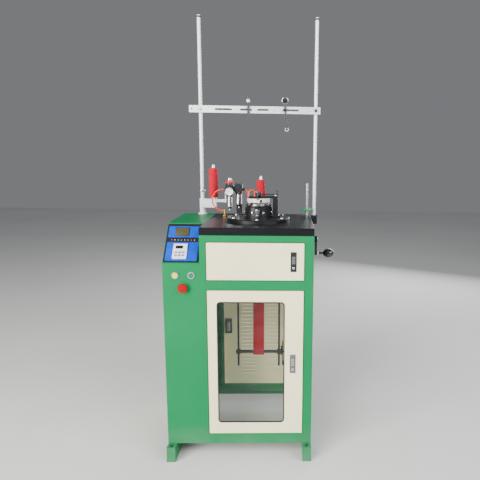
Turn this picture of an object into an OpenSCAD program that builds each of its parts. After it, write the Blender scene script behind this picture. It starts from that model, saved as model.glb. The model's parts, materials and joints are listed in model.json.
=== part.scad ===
// Small circular knitting machine on a sheet metal cabinet.
// The origin is on the floor, at the centre of the four foot bolts. The front faces -Y.

/* [Cabinet] */
// Width of the cabinet
cabinet_w = 610; // [560:1:700]
// Depth of the cabinet
cabinet_d = 470; // [440:1:560]
// Height of the table's working surface above the floor
table_z = 1000; // [960:1:1060]
// Thickness of the table slab
table_t = 31; // [24:0.5:40]
// Height of the cabinet's underside above the floor
base_z = 65; // [55:1:90]
// Thickness of the cabinet's sheet metal
sheet_t = 2; // [1.5:0.1:2.5]
// Width of the inward flange along the bottom of each side
flange_w = 30; // [20:1:36]
// Depth of the folded ring around each door opening
ring_fold = 22; // [20:0.5:28]
// Width of the stop lip behind the doors
stop_lip = 10; // [6:0.5:14]

/* [Console] */
// Width of the console strip at the left
strip_w = 149; // [145:1:170]
// Height at which the console's slope starts
console_z = 852; // [820:1:880]
// Depth that the slope covers
slope_d = 127.5; // [100:0.5:150]
// Width of the control panel
panel_w = 140; // [134:1:142]
// Length of the control panel along the slope
panel_l = 182; // [176:1:186]
// Thickness of the control panel
panel_t = 3; // [2:0.5:5]
// Width of the keypad module
keypad_w = 57; // [50:1:64]
// Length of the keypad module along the slope
keypad_l = 69; // [64:1:74]
// Height that the keypad module stands proud
keypad_t = 7; // [5:0.5:10]

/* [Skids] */
// Width of a skid
skid_w = 37; // [34:1:60]
// How far a skid stands out past the cabinet, front and rear
skid_out = 37.5; // [32:0.5:60]
// Wall of the skid's box section
skid_wall = 3; // [2:0.5:5]
// Radius of the foot bolt holes
foot_hole_r = 6.5; // [5:0.5:8]
// Distance from a skid's end to its bolt hole
foot_hole_in = 19; // [16:0.5:24]

/* [Doors] */
// Width of the front and rear doors
door_w = 393; // [360:1:396]
// Distance from the right edge of the cabinet to the front doors
door_right = 40; // [38:0.5:50]
// Height of the lower doors' bottom edge
door_z = 111; // [105:1:120]
// Height of the lower doors
door_h = 630; // [600:1:640]
// Height of the upper front door's bottom edge
upper_z = 786; // [780:1:800]
// Height of the upper front door
upper_h = 153; // [140:1:156]
// Width of the side doors
side_door_w = 357; // [330:1:362]
// Distance from the cabinet's front face to the side doors
side_door_front = 50; // [46:1:60]
// Height of the lower left door
left_low_h = 398; // [380:1:410]
// Height of the upper left door's bottom edge
left_up_z = 556; // [550:1:570]
// Height of the upper left door
left_up_h = 402; // [380:1:404]
// Gap around each door
door_gap = 3; // [2.8:0.1:4]
// Depth of the doors' folded edges
door_fold = 16; // [12:0.5:17]
// Radius of the hinge pins
pin_r = 2.5; // [2:0.1:2.6]
// Radial running clearance of the pins and shafts
run_gap = 0.05; // [0.02:0.01:0.09]
// Distance of a hinge from the end of a tall door
hinge_in = 70; // [60:1:90]
// Distance of a hinge from the end of the upper front door
hinge_in_low = 30; // [28:1:36]

/* [Windows] */
// Distance from the hinge edge of a door to its window
window_left = 40; // [34:1:60]
// Distance from the latch edge of a door to its window
window_right = 79; // [77:1:90]
// Distance from the bottom edge of a door to its window
window_low = 53; // [40:1:70]
// Distance from the top edge of a door to its window
window_high = 49; // [40:1:70]
// Corner radius of the windows
window_r = 13; // [8:1:20]
// Thickness of the clear panes
pane_t = 3; // [2:0.5:5]
// Overlap of a pane behind its door's sheet
pane_lap = 14; // [10:1:15]

/* [Louvres] */
// Length of a louvre on the rear door
louvre_l = 75; // [60:1:90]
// Length of a louvre on the left doors
louvre_side_l = 54; // [40:1:70]
// Height of a louvre
louvre_h = 8; // [6:0.5:10]
// How far a louvre bulges out
louvre_out = 5; // [4:0.5:7]
// Spacing of the louvres
louvre_pitch = 19.5; // [18:0.5:24]
// Width of the plain band between the two columns of louvres
louvre_mid = 52; // [40:1:70]

/* [Latches] */
// Width of a latch handle
latch_w = 24; // [22:1:28]
// Length of a latch handle
latch_l = 82; // [70:1:96]
// Distance from the latch edge of a front or right door to the middle of its latch
latch_in = 42; // [34:1:44]
// Distance from the latch edge of the rear door to the middle of its latch
latch_in_rear = 29; // [28:1:44]
// Distance from the latch edge of a left door to the middle of its latch
latch_in_left = 60; // [50:1:64]

/* [Buttons] */
// Radius of the caps of the flat push buttons
cap_r = 10; // [8:0.5:11]
// Radius of the bezels of the push buttons
bezel_r = 14.8; // [13:0.1:17]
// Radius of the red mushroom cap
mushroom_r = 20; // [17:0.5:22]
// Travel of the push buttons
press = 3; // [2:0.5:4]

/* [Knitting head] */
// Distance of the cylinder's axis right of the cabinet's middle
head_x = 67; // [60:1:70]
// Distance of the cylinder's axis behind the cabinet's middle
head_y = 5; // [-5:1:10]
// Radius of the head's base ring
base_ring_r = 138; // [130:1:145]
// Thickness of the head's base ring
base_ring_t = 15; // [12:0.5:20]
// Outer radius of the needle cylinder
cyl_r = 45; // [42:0.5:48]
// Bore radius of the needle cylinder
cyl_bore_r = 36; // [32:0.5:37]
// Top of the needle cylinder above the table
cyl_top = 72; // [66:1:76]
// Number of needles
needle_count = 48; // [36:4:60]
// Width of a needle trick
trick_w = 1.6; // [1.4:0.1:2]
// Outer radius of the cam drum
drum_r = 60; // [58:1:64]
// Height of the cam drum
drum_h = 53; // [48:1:54]
// Outer radius of the yarn feeder ring
feeder_r = 49; // [47:0.5:54]
// Height of the yarn feeder ring
feeder_h = 17; // [14:1:19]
// Radius of the dial
dial_r = 33.5; // [30:0.5:34.5]
// Number of dial slots
dial_slots = 24; // [16:4:32]

/* [Drive] */
// Height of the crank shaft's axis
shaft_z = 916; // [910:0.5:925]
// Radius of the crank shaft
shaft_r = 8; // [7:0.5:10]
// Teeth of the crown gear
crown_teeth = 72; // [64:4:80]
// Teeth of the pinions
pinion_teeth = 18; // [16:1:20]
// Module of the gears
gear_m = 2.5; // [2.4:0.02:2.6]
// Face width of the pinions
pinion_w = 10; // [8:0.5:10.5]
// Thickness of the crown gear's plate
crown_t = 16; // [12:0.5:20]
// Distance from the crank shaft's axis to the knob's axis
crank_reach = 64; // [50:1:80]
// Radius of the crank knob
knob_r = 20.5; // [16:0.5:23]
// Length of the crank knob
knob_l = 45; // [32:1:48]

/* [Take-down] */
// Distance from the cylinder's axis to each take-down rod
rod_off = 94; // [92:0.5:96]
// Radius of the take-down rods
rod_r = 4.5; // [4:0.5:6]
// Height of the take-down roller's axis
roller_z = 381; // [360:1:420]
// Radius of the take-down roller
roller_r = 7; // [6:0.5:9]
// Height of the lower ends of the take-down rods
rod_low_z = 312; // [290:1:330]
// Flat width of the knitted tube
tube_w = 51; // [44:1:56]
// Radius of the ratchet wheel
ratchet_r = 15; // [13:0.5:17]

/* [Yarn stand] */
// Radius of the posts
post_r = 8; // [7:0.5:10]
// Height of the posts' tops
post_top_z = 1906; // [1800:1:2000]
// Distance of the left post left of the cabinet's middle
post_left = 215; // [205:1:225]
// Distance of the right post outside the cabinet's side
post_out = 19; // [18:0.5:24]
// Distance of the posts behind the cabinet's middle
post_y = 212; // [205:1:216]
// Height of the crossbar's axis
bar_z = 1492; // [1440:1:1600]
// Height of the crossbar's section
bar_h = 32; // [28:1:40]
// Thickness of the crossbar
bar_t = 5; // [4:0.5:8]
// How far the crossbar runs past the left post
bar_left_over = 50; // [40:1:60]
// How far the crossbar runs past the right post
bar_right_over = 21; // [16:1:30]
// Radius of the yarn packages
cone_r = 22; // [18:0.5:25]
// Height of the yarn packages
cone_h = 142; // [120:1:160]

/* [Air unit] */
// Radius of the gauge
gauge_r = 19; // [16:0.5:22]
// Radius of the filter bowl
filter_r = 11; // [10:0.5:15]
// Radius of the oiler bowl
oiler_r = 13.5; // [12:0.5:16]
// Outer radius of the air tubes
tube_r = 3; // [2.5:0.25:4]

/* [Hidden] */
$fn = 64;
eps = 0.01;
seat = 0.3;

green = [0.24, 0.67, 0.45];
cream = [0.95, 0.93, 0.86];
black = [0.13, 0.13, 0.14];
steel = [0.75, 0.75, 0.76];
white = [0.93, 0.93, 0.93];
red = [0.84, 0.16, 0.2];
orange = [0.9, 0.35, 0.2];
clear = [0.85, 0.9, 0.92, 0.4];

left_x = -cabinet_w/2;
front_y = -cabinet_d/2;
under_z = table_z - table_t;
divider_x = left_x + strip_w;

// The slope of the console
slope_h = table_z - console_z;
slope_l = sqrt(slope_d*slope_d + slope_h*slope_h);
slope_run = sheet_t*slope_l/slope_h;

// Hinge axes lie this far inside a door's edge and behind its face
pivot = 6;
lug_t = 4;
barrel_r = 4.6;
barrel_h = 20;

// Doors as [left edge, bottom edge, width, height, hinge distance, chamfer width, chamfer height,
// latch distance], seen from outside in their own side's frame, with the hinges at the left
front_door_u = cabinet_w - door_right - door_w;
front_low = [front_door_u, door_z, door_w, door_h, hinge_in, 0, 0, latch_in];
front_up = [front_door_u, upper_z, door_w, upper_h, hinge_in_low, 0, 0, latch_in];
rear_low = [door_right, door_z, door_w, door_h, hinge_in, 0, 0, latch_in_rear];
right_low = [side_door_front, door_z, side_door_w, door_h, hinge_in, 0, 0, latch_in];
left_door_u = cabinet_d - side_door_front - side_door_w;
chamfer_w = slope_d;
chamfer_h = slope_h - 30;
left_low = [left_door_u, door_z, side_door_w, left_low_h, hinge_in, 0, 0, latch_in_left];
left_up = [left_door_u, left_up_z, side_door_w, left_up_h, hinge_in, chamfer_w, chamfer_h,
           latch_in_left];

// Heights of the drive
pitch_z = shaft_z - gear_m*pinion_teeth/2;
crown_r = gear_m*crown_teeth/2;
tooth_add = 0.8*gear_m;
tooth_ded = 1.1*gear_m;
tooth_gap = 4.5;
flank = tan(20);
crown_top = pitch_z - tooth_ded - 0.4;
hub_r = 46 - run_gap;
hub_bore_r = 38;
base_top = table_z + base_ring_t;
hub_top = table_z + 10;
drum_bore = cyl_r + 2.5;
cyl_top_z = table_z + cyl_top;
yoke_z = table_z + 98;
feeder_z = yoke_z - feeder_h;
feeder_wall = 6;
yoke_t = 10;
boss_h = 24;
dial_shaft_r = 6;
column_x = drum_r + 4;
column_w = 22;

// Foot bolts
foot_x = cabinet_w/2 - skid_w/2;
foot_y = cabinet_d/2 + skid_out - foot_hole_in;

// Places of the console's pieces, from the left edge of the strip
jog_u = 51;
start_u = 115;
stop_u = 82;
flat_button_z = 805;
stop_button_z = 754;
panel_u = 3;
panel_s = 6;
keypad_u = 38;
keypad_s = 20;

// Places on the table, from the machine's middle
left_cone_x = -158;
left_cone_y = 192;
right_cone_x = 66;
right_cone_y = 192;
spare_peg_x = 288;
spare_peg_y = 191;
air_x = -76;
air_y = 145;
oiler_x = -33;

// Common helpers

// A side's own frame: x to the right as seen from outside, y inwards, z up
module on_front() translate([left_x, front_y, 0]) children();
module on_right() translate([cabinet_w/2, front_y, 0]) rotate([0, 0, 90]) children();
module on_rear() translate([cabinet_w/2, cabinet_d/2, 0]) rotate([0, 0, 180]) children();
module on_left() translate([left_x, cabinet_d/2, 0]) rotate([0, 0, -90]) children();

// A flat outline stood upright, from depth y0 to y0 + t
module upright(y0, t) translate([0, y0 + t, 0]) rotate([90, 0, 0]) linear_extrude(height = t) children();

// The console's slope: x from the strip's left edge, y up along the slope, z out of it
module on_slope() translate([left_x, front_y, console_z])
    rotate([atan2(slope_h, slope_d), 0, 0]) children();

// The knitting head's frame, on its axis
module at_head() translate([head_x, head_y, 0]) children();

module ring(ro, ri, h) difference() {
    cylinder(r = ro, h = h);
    translate([0, 0, -1]) cylinder(r = ri, h = h + 2);
}
module along_x(x) translate([x, 0, 0]) rotate([0, 90, 0]) children();

function door_shape(d, i) = d[5] == 0
    ? [[i, i], [d[2] - i, i], [d[2] - i, d[3] - i], [i, d[3] - i]]
    : let (cl = sqrt(d[5]*d[5] + d[6]*d[6]))
      [[i, i], [d[2] - i, i],
       [d[2] - i, d[3] - d[6] - i*(cl - d[6])/d[5]],
       [d[2] - d[5] - i*(cl - d[5])/d[6], d[3] - i],
       [i, d[3] - i]];

function hinge_heights(d) = [d[4], d[3] - d[4] - barrel_h];

module round_rect(w, h, r) {
    translate([r, 0]) square([w - 2*r, h]);
    translate([0, r]) square([w, h - 2*r]);
    for (x = [r, w - r], y = [r, h - r]) translate([x, y]) circle(r);
}

// Cabinet frames

// One folded ring around a door opening, with the lips that the door closes on
module opening_ring(d) translate([d[0], 0, d[1]]) {
    difference() {
        upright(0, ring_fold) polygon(door_shape(d, -door_gap - sheet_t));
        translate([0, -1, 0]) upright(0, ring_fold + 2) polygon(door_shape(d, -door_gap));
    }
    difference() {
        upright(door_fold + seat, sheet_t) polygon(door_shape(d, -door_gap));
        upright(door_fold + seat - 1, sheet_t + 2) polygon(door_shape(d, stop_lip - door_gap));
        translate([-door_gap - 1, door_fold + seat - 1, -door_gap - 1])
            cube([hinge_clear + 1, sheet_t + 2, d[3] + 2*door_gap + 2]);
    }
}
hinge_clear = 34;

// A lug that reaches round the door's edge, with its upright pin
module hinge_lug(d, h) translate([d[0] + pivot, pivot, d[1] + h]) {
    neck_w = 5;
    translate([-1.5, 0, -lug_t - seat]) cube([neck_w, ring_fold - pivot, lug_t]);
    translate([-pivot - door_gap - sheet_t/2, ring_fold - pivot - 4, -lug_t - seat])
        cube([pivot + door_gap + sheet_t/2 + 1, 4, lug_t]);
    translate([0, 0, -lug_t - seat]) cylinder(r = pin_r + 1, h = lug_t);
    translate([0, 0, -seat - eps]) cylinder(r = pin_r, h = barrel_h + 1);
}

module frame_side(outline, doors, flange_from, flange_to, flange_y) {
    difference() {
        upright(0, sheet_t) polygon(outline);
        for (d = doors) translate([d[0], -1, d[1]])
            upright(0, sheet_t + 2) polygon(door_shape(d, -door_gap));
    }
    for (d = doors) {
        opening_ring(d);
        for (h = hinge_heights(d)) hinge_lug(d, h);
    }
    translate([flange_from, flange_y, base_z])
        cube([flange_to - flange_from, flange_w - flange_y, sheet_t]);
}

module front_frame() color(green) on_front() difference() {
    frame_side([[0, base_z], [cabinet_w, base_z], [cabinet_w, under_z], [strip_w, under_z],
                [strip_w, console_z], [0, console_z]],
               [front_low, front_up], sheet_t, cabinet_w - sheet_t, 0);
    for (b = [[jog_u, flat_button_z], [start_u, flat_button_z], [stop_u, stop_button_z]])
        translate([b[0], -1, b[1]]) rotate([-90, 0, 0])
            cylinder(r = cap_r + 1.4, h = sheet_t + 2);
}

module left_frame() color(green) on_left() {
    top = table_z - sheet_t;
    bend = cabinet_d - slope_d - slope_run + sheet_t*slope_d/slope_h;
    nose = console_z + (sheet_t - slope_run)*slope_h/slope_d;
    frame_side([[sheet_t, base_z], [cabinet_d - sheet_t, base_z], [cabinet_d - sheet_t, nose],
                [bend, top], [sheet_t, top]],
               [left_low, left_up], flange_w, cabinet_d - flange_w, 0);
}

module right_frame() color(green) on_right() difference() {
    frame_side([[sheet_t, base_z], [cabinet_d - sheet_t, base_z], [cabinet_d - sheet_t, under_z],
                [sheet_t, under_z]],
               [right_low], flange_w, cabinet_d - flange_w, 0);
    translate([cabinet_d/2 + head_y, -1, shaft_z]) rotate([-90, 0, 0])
        cylinder(r = shaft_r + 4, h = sheet_t + 2);
}

module rear_frame() color(green) on_rear()
    frame_side([[0, base_z], [cabinet_w, base_z], [cabinet_w, table_z - sheet_t],
                [cabinet_w - strip_w, table_z - sheet_t], [cabinet_w - strip_w, under_z], [0, under_z]],
               [rear_low], sheet_t, cabinet_w - sheet_t, 0);

module divider_wall() color(green)
    translate([divider_x, front_y + sheet_t, base_z + sheet_t])
        cube([sheet_t, cabinet_d - 2*sheet_t, under_z - base_z - sheet_t]);

module skids() color(green) for (s = [-1, 1]) translate([s*foot_x, 0, 0]) {
    len = cabinet_d + 2*skid_out;
    difference() {
        translate([-skid_w/2, -len/2, 0]) cube([skid_w, len, base_z]);
        translate([-skid_w/2 + skid_wall, -len/2 + skid_wall, skid_wall])
            cube([skid_w - 2*skid_wall, len - 2*skid_wall, base_z - 2*skid_wall]);
        for (e = [-1, 1]) translate([0, e*foot_y, -1]) cylinder(r = foot_hole_r, h = base_z + 2);
    }
}

bearing_r = 60;
module table_top() color(black) difference() {
    translate([divider_x, front_y, under_z]) cube([cabinet_w - strip_w, cabinet_d, table_t]);
    at_head() translate([0, 0, under_z - 1]) cylinder(r = bearing_r, h = table_t + 2);
}

// Doors

// A folded door pan. Its edges turn in, and it is cut back round the hinge lugs.
module door_pan(d) {
    difference() {
        upright(0, door_fold) polygon(door_shape(d, 0));
        upright(sheet_t, door_fold) polygon(door_shape(d, sheet_t));
        for (h = hinge_heights(d)) translate([-1, sheet_t, h - lug_t - seat - 1.5])
            cube([sheet_t + 2, door_fold, lug_t + seat + 1.5]);
    }
    for (h = hinge_heights(d)) translate([pivot, pivot, h]) ring(barrel_r, pin_r + run_gap, barrel_h);
}

// Cuts the hinge bores clear again where the pan's sheet runs into them
module door(d) difference() {
    door_pan(d);
    for (h = hinge_heights(d)) translate([pivot, pivot, h - 1])
        cylinder(r = pin_r + run_gap, h = barrel_h + 2);
    children();
}

module window_outline(d, grow) translate([window_left - grow, window_low - grow])
    round_rect(d[2] - window_left - window_right + 2*grow, d[3] - window_low - window_high + 2*grow,
               window_r + grow);

module window_cut(d) translate([0, -1, 0]) upright(0, sheet_t + 2) window_outline(d, 0);

module pane(d) upright(sheet_t, pane_t)
    translate([window_left - pane_lap, window_low - pane_lap])
        square([d[2] - window_left - window_right + 2*pane_lap,
                d[3] - window_low - window_high + 2*pane_lap]);

// The outward hood of one louvre, open at its lower edge, hollow behind its slot
louvre_wall = 1.2;
louvre_steps = 5;
function hood(h, out) = concat([[0.5, 0]],
    [for (k = [0:louvre_steps]) let (a = 90*k/louvre_steps) [-out*sin(a), -h*(1 - cos(a))]],
    [[0.5, -h]]);
module louvre_solid(l) translate([-l/2, 0, 0]) rotate([90, 0, 90]) linear_extrude(height = l)
    polygon(hood(louvre_h, louvre_out));
module louvre_hollow(l) translate([-l/2 + louvre_wall, 0, 0]) rotate([90, 0, 90])
    linear_extrude(height = l - 2*louvre_wall)
        polygon(concat([[sheet_t + 1, -louvre_wall]],
            [for (k = [0:louvre_steps]) let (a = 90*k/louvre_steps)
                [-(louvre_out - louvre_wall)*sin(a),
                 -louvre_wall - (louvre_h + 2 - louvre_wall)*(1 - cos(a))]],
            [[-0.01, -louvre_h - 2], [-0.01, -louvre_h], [sheet_t + 1, -louvre_h]]));

// Rows of louvres at the heights z0, z0 + pitch and so on, in columns at the given places
module louvres(columns, z0, rows, l, hollow) for (x = columns, k = [0:rows - 1])
    translate([x, 0, z0 + k*louvre_pitch])
        if (hollow) louvre_hollow(l); else louvre_solid(l);

module louvred_door(d, columns, z0, rows, l) {
    difference() {
        union() {
            door(d);
            louvres(columns, z0, rows, l, false);
        }
        louvres(columns, z0, rows, l, true);
    }
    flush_latch(d);
}

// The recess that a latch handle lies in, at mid height of the door
latch_deep = 11;
latch_gap = 0.5;
latch_pin_r = 2;
latch_pin_y = 3;
latch_pin_down = 4.5;
module at_latch(d) translate([d[2] - d[7], 0, d[3]/2]) children();
module latch_recess(d) at_latch(d) {
    translate([-latch_w/2 - latch_gap, -1, -latch_l/2 - latch_gap])
        cube([latch_w + 2*latch_gap, latch_deep + 1, latch_l + 2*latch_gap]);
    translate([-latch_w/2 - 2.4, latch_pin_y, latch_l/2 - latch_pin_down])
        rotate([0, 90, 0]) cylinder(r = latch_pin_r + run_gap, h = latch_w + 4.8);
}
module latch_box(d) at_latch(d) translate([-latch_w/2 - 3, 0, -latch_l/2 - 3])
    cube([latch_w + 6, latch_deep + 2, latch_l + 6]);
module latch_handle(d) at_latch(d) {
    difference() {
        union() {
            translate([-latch_w/2, -1, -latch_l/2]) cube([latch_w, 4, latch_l - latch_pin_down]);
            translate([-latch_w/2, latch_pin_y, latch_l/2 - latch_pin_down]) rotate([0, 90, 0])
                cylinder(r = latch_pin_y + 1, h = latch_w);
        }
        translate([-latch_w/2 + 4, -1.01, -latch_l/2 + 30]) cube([latch_w - 8, 1.2, latch_l - 46]);
        translate([0, -2, -latch_l/2 + 16]) rotate([-90, 0, 0]) ring(7, 5.8, 1.6);
    }
    translate([-latch_w/2 - 2.2, latch_pin_y, latch_l/2 - latch_pin_down])
        rotate([0, 90, 0]) cylinder(r = latch_pin_r, h = latch_w + 4.4);
}

// A latch whose handle is fixed in its door: plate and grip recess in front, and behind the sheet
// its housing with the lock's barrel, nut and cam
housing_w = latch_w + 6;
housing_l = latch_l - 10;
module flush_latch(d) at_latch(d) {
    difference() {
        translate([-latch_w/2, -1, -latch_l/2]) cube([latch_w, 1 + sheet_t/2, latch_l]);
        translate([-latch_w/2 + 4, -1.01, -latch_l/2 + 30]) cube([latch_w - 8, 0.8, latch_l - 46]);
    }
    translate([-housing_w/2, sheet_t/2, -housing_l/2]) cube([housing_w, latch_deep, housing_l]);
    translate([0, latch_deep, -housing_l/2 + 20]) rotate([-90, 0, 0]) {
        cylinder(r = 9, h = 5);
        cylinder(r = 7.5, h = 8, $fn = 6);
    }
    translate([-6, latch_deep + 5, -housing_l/2 + 12]) cube([12, 2, 44]);
}

module latched_door(d) {
    difference() {
        union() {
            door(d) children();
            latch_box(d);
        }
        latch_recess(d);
    }
}

module place(d) translate([d[0], 0, d[1]]) children();

module front_upper_door() color(cream) on_front() place(front_up) latched_door(front_up);
module front_upper_latch() color(black) on_front() place(front_up) latch_handle(front_up);
module front_lower_door() color(cream) on_front() place(front_low)
    latched_door(front_low) window_cut(front_low);
module front_lower_latch() color(steel) on_front() place(front_low) latch_handle(front_low);
module front_window() color(clear) on_front() place(front_low) pane(front_low);
module right_door() color(cream) on_right() place(right_low) {
    door(right_low) window_cut(right_low);
    flush_latch(right_low);
}
module right_window() color(clear) on_right() place(right_low) pane(right_low);

rear_rows = 26;
rear_louvre_z = 63;
module rear_door() color(cream) on_rear() place(rear_low)
    louvred_door(rear_low, [for (s = [-1, 1]) door_w/2 + s*(louvre_mid + louvre_l)/2],
                 rear_louvre_z, rear_rows, louvre_l);

side_rows = 13;
side_columns = [side_door_w - 230, side_door_w - 107];
module left_lower_door() color(cream) on_left() place(left_low)
    louvred_door(left_low, side_columns, 70, side_rows, louvre_side_l);
module left_upper_door() color(cream) on_left() place(left_up)
    louvred_door(left_up, side_columns, 70, side_rows - 1, louvre_side_l);

// Console

module console_cover() color(green) translate([left_x, 0, 0]) rotate([90, 0, 90])
    linear_extrude(height = strip_w)
        polygon([[front_y, console_z], [front_y + slope_d, table_z], [cabinet_d/2, table_z],
                 [cabinet_d/2, table_z - sheet_t],
                 [front_y + slope_d + slope_run - sheet_t*slope_d/slope_h, table_z - sheet_t],
                 [front_y + slope_run, console_z]]);

module control_panel() color(black) on_slope() difference() {
    translate([panel_u, panel_s, 0]) cube([panel_w, panel_l, panel_t]);
    // The LCD's window, the row of lamps and the two fields lie a little lower
    translate([37, 131, panel_t - 1]) cube([55, 38, 2]);
    for (k = [0:7]) translate([26.6 + k*13.3, 110, panel_t - 1]) cylinder(r = 3, h = 2);
}

module keypad() color(white) on_slope() translate([keypad_u, keypad_s, panel_t]) difference() {
    union() {
        cube([keypad_w, keypad_l, keypad_t - 1]);
        translate([1.5, 1.5, 0]) cube([keypad_w - 3, keypad_l - 3, keypad_t]);
        for (i = [0:2], j = [0:1]) translate([9 + i*15, 9 + j*14, 0]) cube([9, 8, keypad_t + 1]);
    }
    translate([10, 45, keypad_t - 1.5]) cube([30, 15, 3]);
}

button_deep = 12;
module button_body(r_cap) rotate([-90, 0, 0]) difference() {
    union() {
        translate([0, 0, -4]) cylinder(r = bezel_r, h = 4);
        translate([0, 0, -5]) cylinder(r = bezel_r - 1.5, h = 2);
        cylinder(r = cap_r + 1.4, h = 16);
        translate([0, 0, sheet_t]) cylinder(r = bezel_r, h = 5, $fn = 6);
        translate([-14, -18, 16]) cube([28, 36, 34]);
    }
    translate([0, 0, -6]) cylinder(r = r_cap + 0.1, h = 6 + button_deep);
}
stem_r = 7;
module button_bodies() color(steel) on_front() {
    translate([jog_u, 0, flat_button_z]) button_body(cap_r);
    translate([start_u, 0, flat_button_z]) button_body(cap_r);
    translate([stop_u, 0, stop_button_z]) button_body(stem_r);
}
module flat_button(u) on_front() translate([u, 0, flat_button_z]) rotate([-90, 0, 0]) {
    translate([0, 0, -6.5]) cylinder(r = cap_r, h = 6.5 + button_deep - press - 1);
    translate([0, 0, -7.3]) cylinder(r = cap_r - 0.8, h = 2);
}
module jog_button() color([0.89, 0.88, 0.5]) flat_button(jog_u);
module start_button() color([0.2, 0.6, 0.5]) flat_button(start_u);
module stop_button() color([0.86, 0.27, 0.27]) on_front() translate([stop_u, 0, stop_button_z])
    rotate([90, 0, 0]) {
        translate([0, 0, press - button_deep + 1]) cylinder(r = stem_r, h = 12 + button_deep - press);
        translate([0, 0, 5 + press + seat]) rotate_extrude()
            polygon(concat([[0, 0], [mushroom_r - 4, 0]],
                [for (a = [-30:15:60]) [mushroom_r - 4 + 4*cos(a), 6 + 5*sin(a)]], [[0, 12]]));
    }

// Electrics behind the left doors

plate_gap = 14;
plate_y0 = front_y + 85;
plate_w = cabinet_d - 140;
plate_z0 = base_z + 115;
plate_h = console_z - plate_z0 - 32;
rail_in = 20;
rail_z = [90, 312];
rail_h = 35;
rail_t = 8;
terminal_pitch = 20;
terminal_count = floor((plate_w - 2*rail_in - 8)/terminal_pitch);
duct_z = [26, 236, plate_h - 56];
duct_h = 30;
duct_out = 42;
drive_z = plate_h - 260;
module electrics_plate() color(steel) translate([divider_x - plate_gap - sheet_t, plate_y0, plate_z0]) {
    cube([sheet_t, plate_w, plate_h]);
    for (y = [rail_in, plate_w - rail_in], z = [rail_in, plate_h - rail_in])
        translate([sheet_t, y, z]) rotate([0, 90, 0]) cylinder(r = 6, h = plate_gap);
    for (z = rail_z) translate([-rail_t, rail_in, z]) cube([rail_t, plate_w - 2*rail_in, rail_h]);
    // Row of terminals
    for (k = [0:terminal_count - 1]) translate([-46, rail_in + 4 + k*terminal_pitch, rail_z[0] - 6])
        cube([38, terminal_pitch - 2, rail_h + 12]);
    // Circuit breaker, two contactors and a power supply on the upper rail
    translate([0, rail_in + 6, rail_z[1] + rail_h/2]) {
        translate([-66, 0, -40]) cube([58, 36, 80]);
        translate([-74, 11, -12]) cube([10, 14, 24]);
        for (k = [0:1]) translate([-rail_t, 48 + k*52, 0]) {
            translate([-72, 0, -37]) cube([72, 45, 74]);
            translate([-80, 8, -20]) cube([9, 29, 40]);
        }
        translate([-rail_t - 78, 160, -46]) cube([78, 54, 92]);
    }
    // Slotted wiring ducts
    for (z = duct_z) translate([-duct_out, rail_in - 8, z]) difference() {
        cube([duct_out, plate_w - 2*rail_in + 16, duct_h]);
        for (k = [0:duct_slots - 1]) translate([duct_out/3, 8 + k*duct_pitch, -1])
            cube([duct_out/2, duct_pitch/2, duct_h + 2]);
    }
}
duct_pitch = 12;
duct_slots = floor((plate_w - 2*rail_in)/duct_pitch);
module inverter_drive() color(black)
    translate([divider_x - plate_gap - sheet_t - 88, plate_y0 + 80, plate_z0 + drive_z]) difference() {
        union() {
            translate([0, 0, 6]) cube([74, 130, 188]);
            translate([74, -4, 0]) cube([14, 138, 200]);
        }
        for (k = [0:7]) translate([20, 12 + k*14, 190]) cube([44, 6, 5]);
        translate([-1, 30, 120]) cube([2, 70, 50]);
    }

// Knitting head

module head_base() color(black) at_head() translate([0, 0, table_z]) {
    difference() {
        rotate_extrude() polygon([[drum_bore, 0], [base_ring_r, 0], [base_ring_r, base_ring_t - 3],
                                  [base_ring_r - 3, base_ring_t], [drum_bore, base_ring_t]]);
        for (a = [30:60:330]) rotate(a) translate([base_ring_r - 18, 0, base_ring_t - 5])
            cylinder(r = 8, h = 6);
    }
    for (a = [30:60:330]) rotate(a) translate([base_ring_r - 18, 0, base_ring_t - 5 - eps]) {
        cylinder(r = 6.5, h = 8);
    }
}

module cam_drum() color(black) at_head() translate([0, 0, base_top]) difference() {
    union() {
        rotate_extrude() polygon([[drum_bore, 0], [drum_r + 3, 0], [drum_r + 3, 6], [drum_r, 7.5],
                                  [drum_r, drum_h - 8], [drum_r - 3, drum_h - 5],
                                  [drum_r - 3, drum_h], [drum_bore, drum_h]]);
        for (a = [0:45:315]) rotate(a + 22.5) translate([drum_r - 4, 0, 24]) rotate([0, 90, 0])
            cylinder(r = 6, h = 7);
        for (a = [0:90:270]) rotate(a + 45) translate([drum_r - 4, -9, 30]) cube([7, 18, 12]);
    }
    for (a = [0:90:270]) rotate(a) translate([drum_bore - 2, -12, 32]) cube([20, 24, 12]);
    for (a = [0:45:315]) rotate(a + 22.5) translate([drum_r + 1, 0, 24]) rotate([0, 90, 0])
        cylinder(r = 3, h = 4, $fn = 6);
}

module main_bearing() color(steel) at_head() translate([0, 0, under_z + 3]) difference() {
    rotate_extrude() polygon([[hub_r + run_gap, 0], [bearing_r, 0],
                              [bearing_r, table_t - 3], [hub_r + run_gap, table_t - 3]]);
    for (z = [-1, table_t - 5]) translate([0, 0, z]) ring(bearing_r - 4, hub_r + 4, 3);
}

module needle_cylinder() color(steel) at_head() difference() {
    translate([0, 0, hub_top]) ring(cyl_r, cyl_bore_r, cyl_top_z - hub_top);
    for (k = [0:needle_count - 1]) rotate(k*360/needle_count)
        translate([cyl_r - 3, -trick_w/2, hub_top + 12])
            cube([4, trick_w, cyl_top_z - hub_top]);
}

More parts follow.
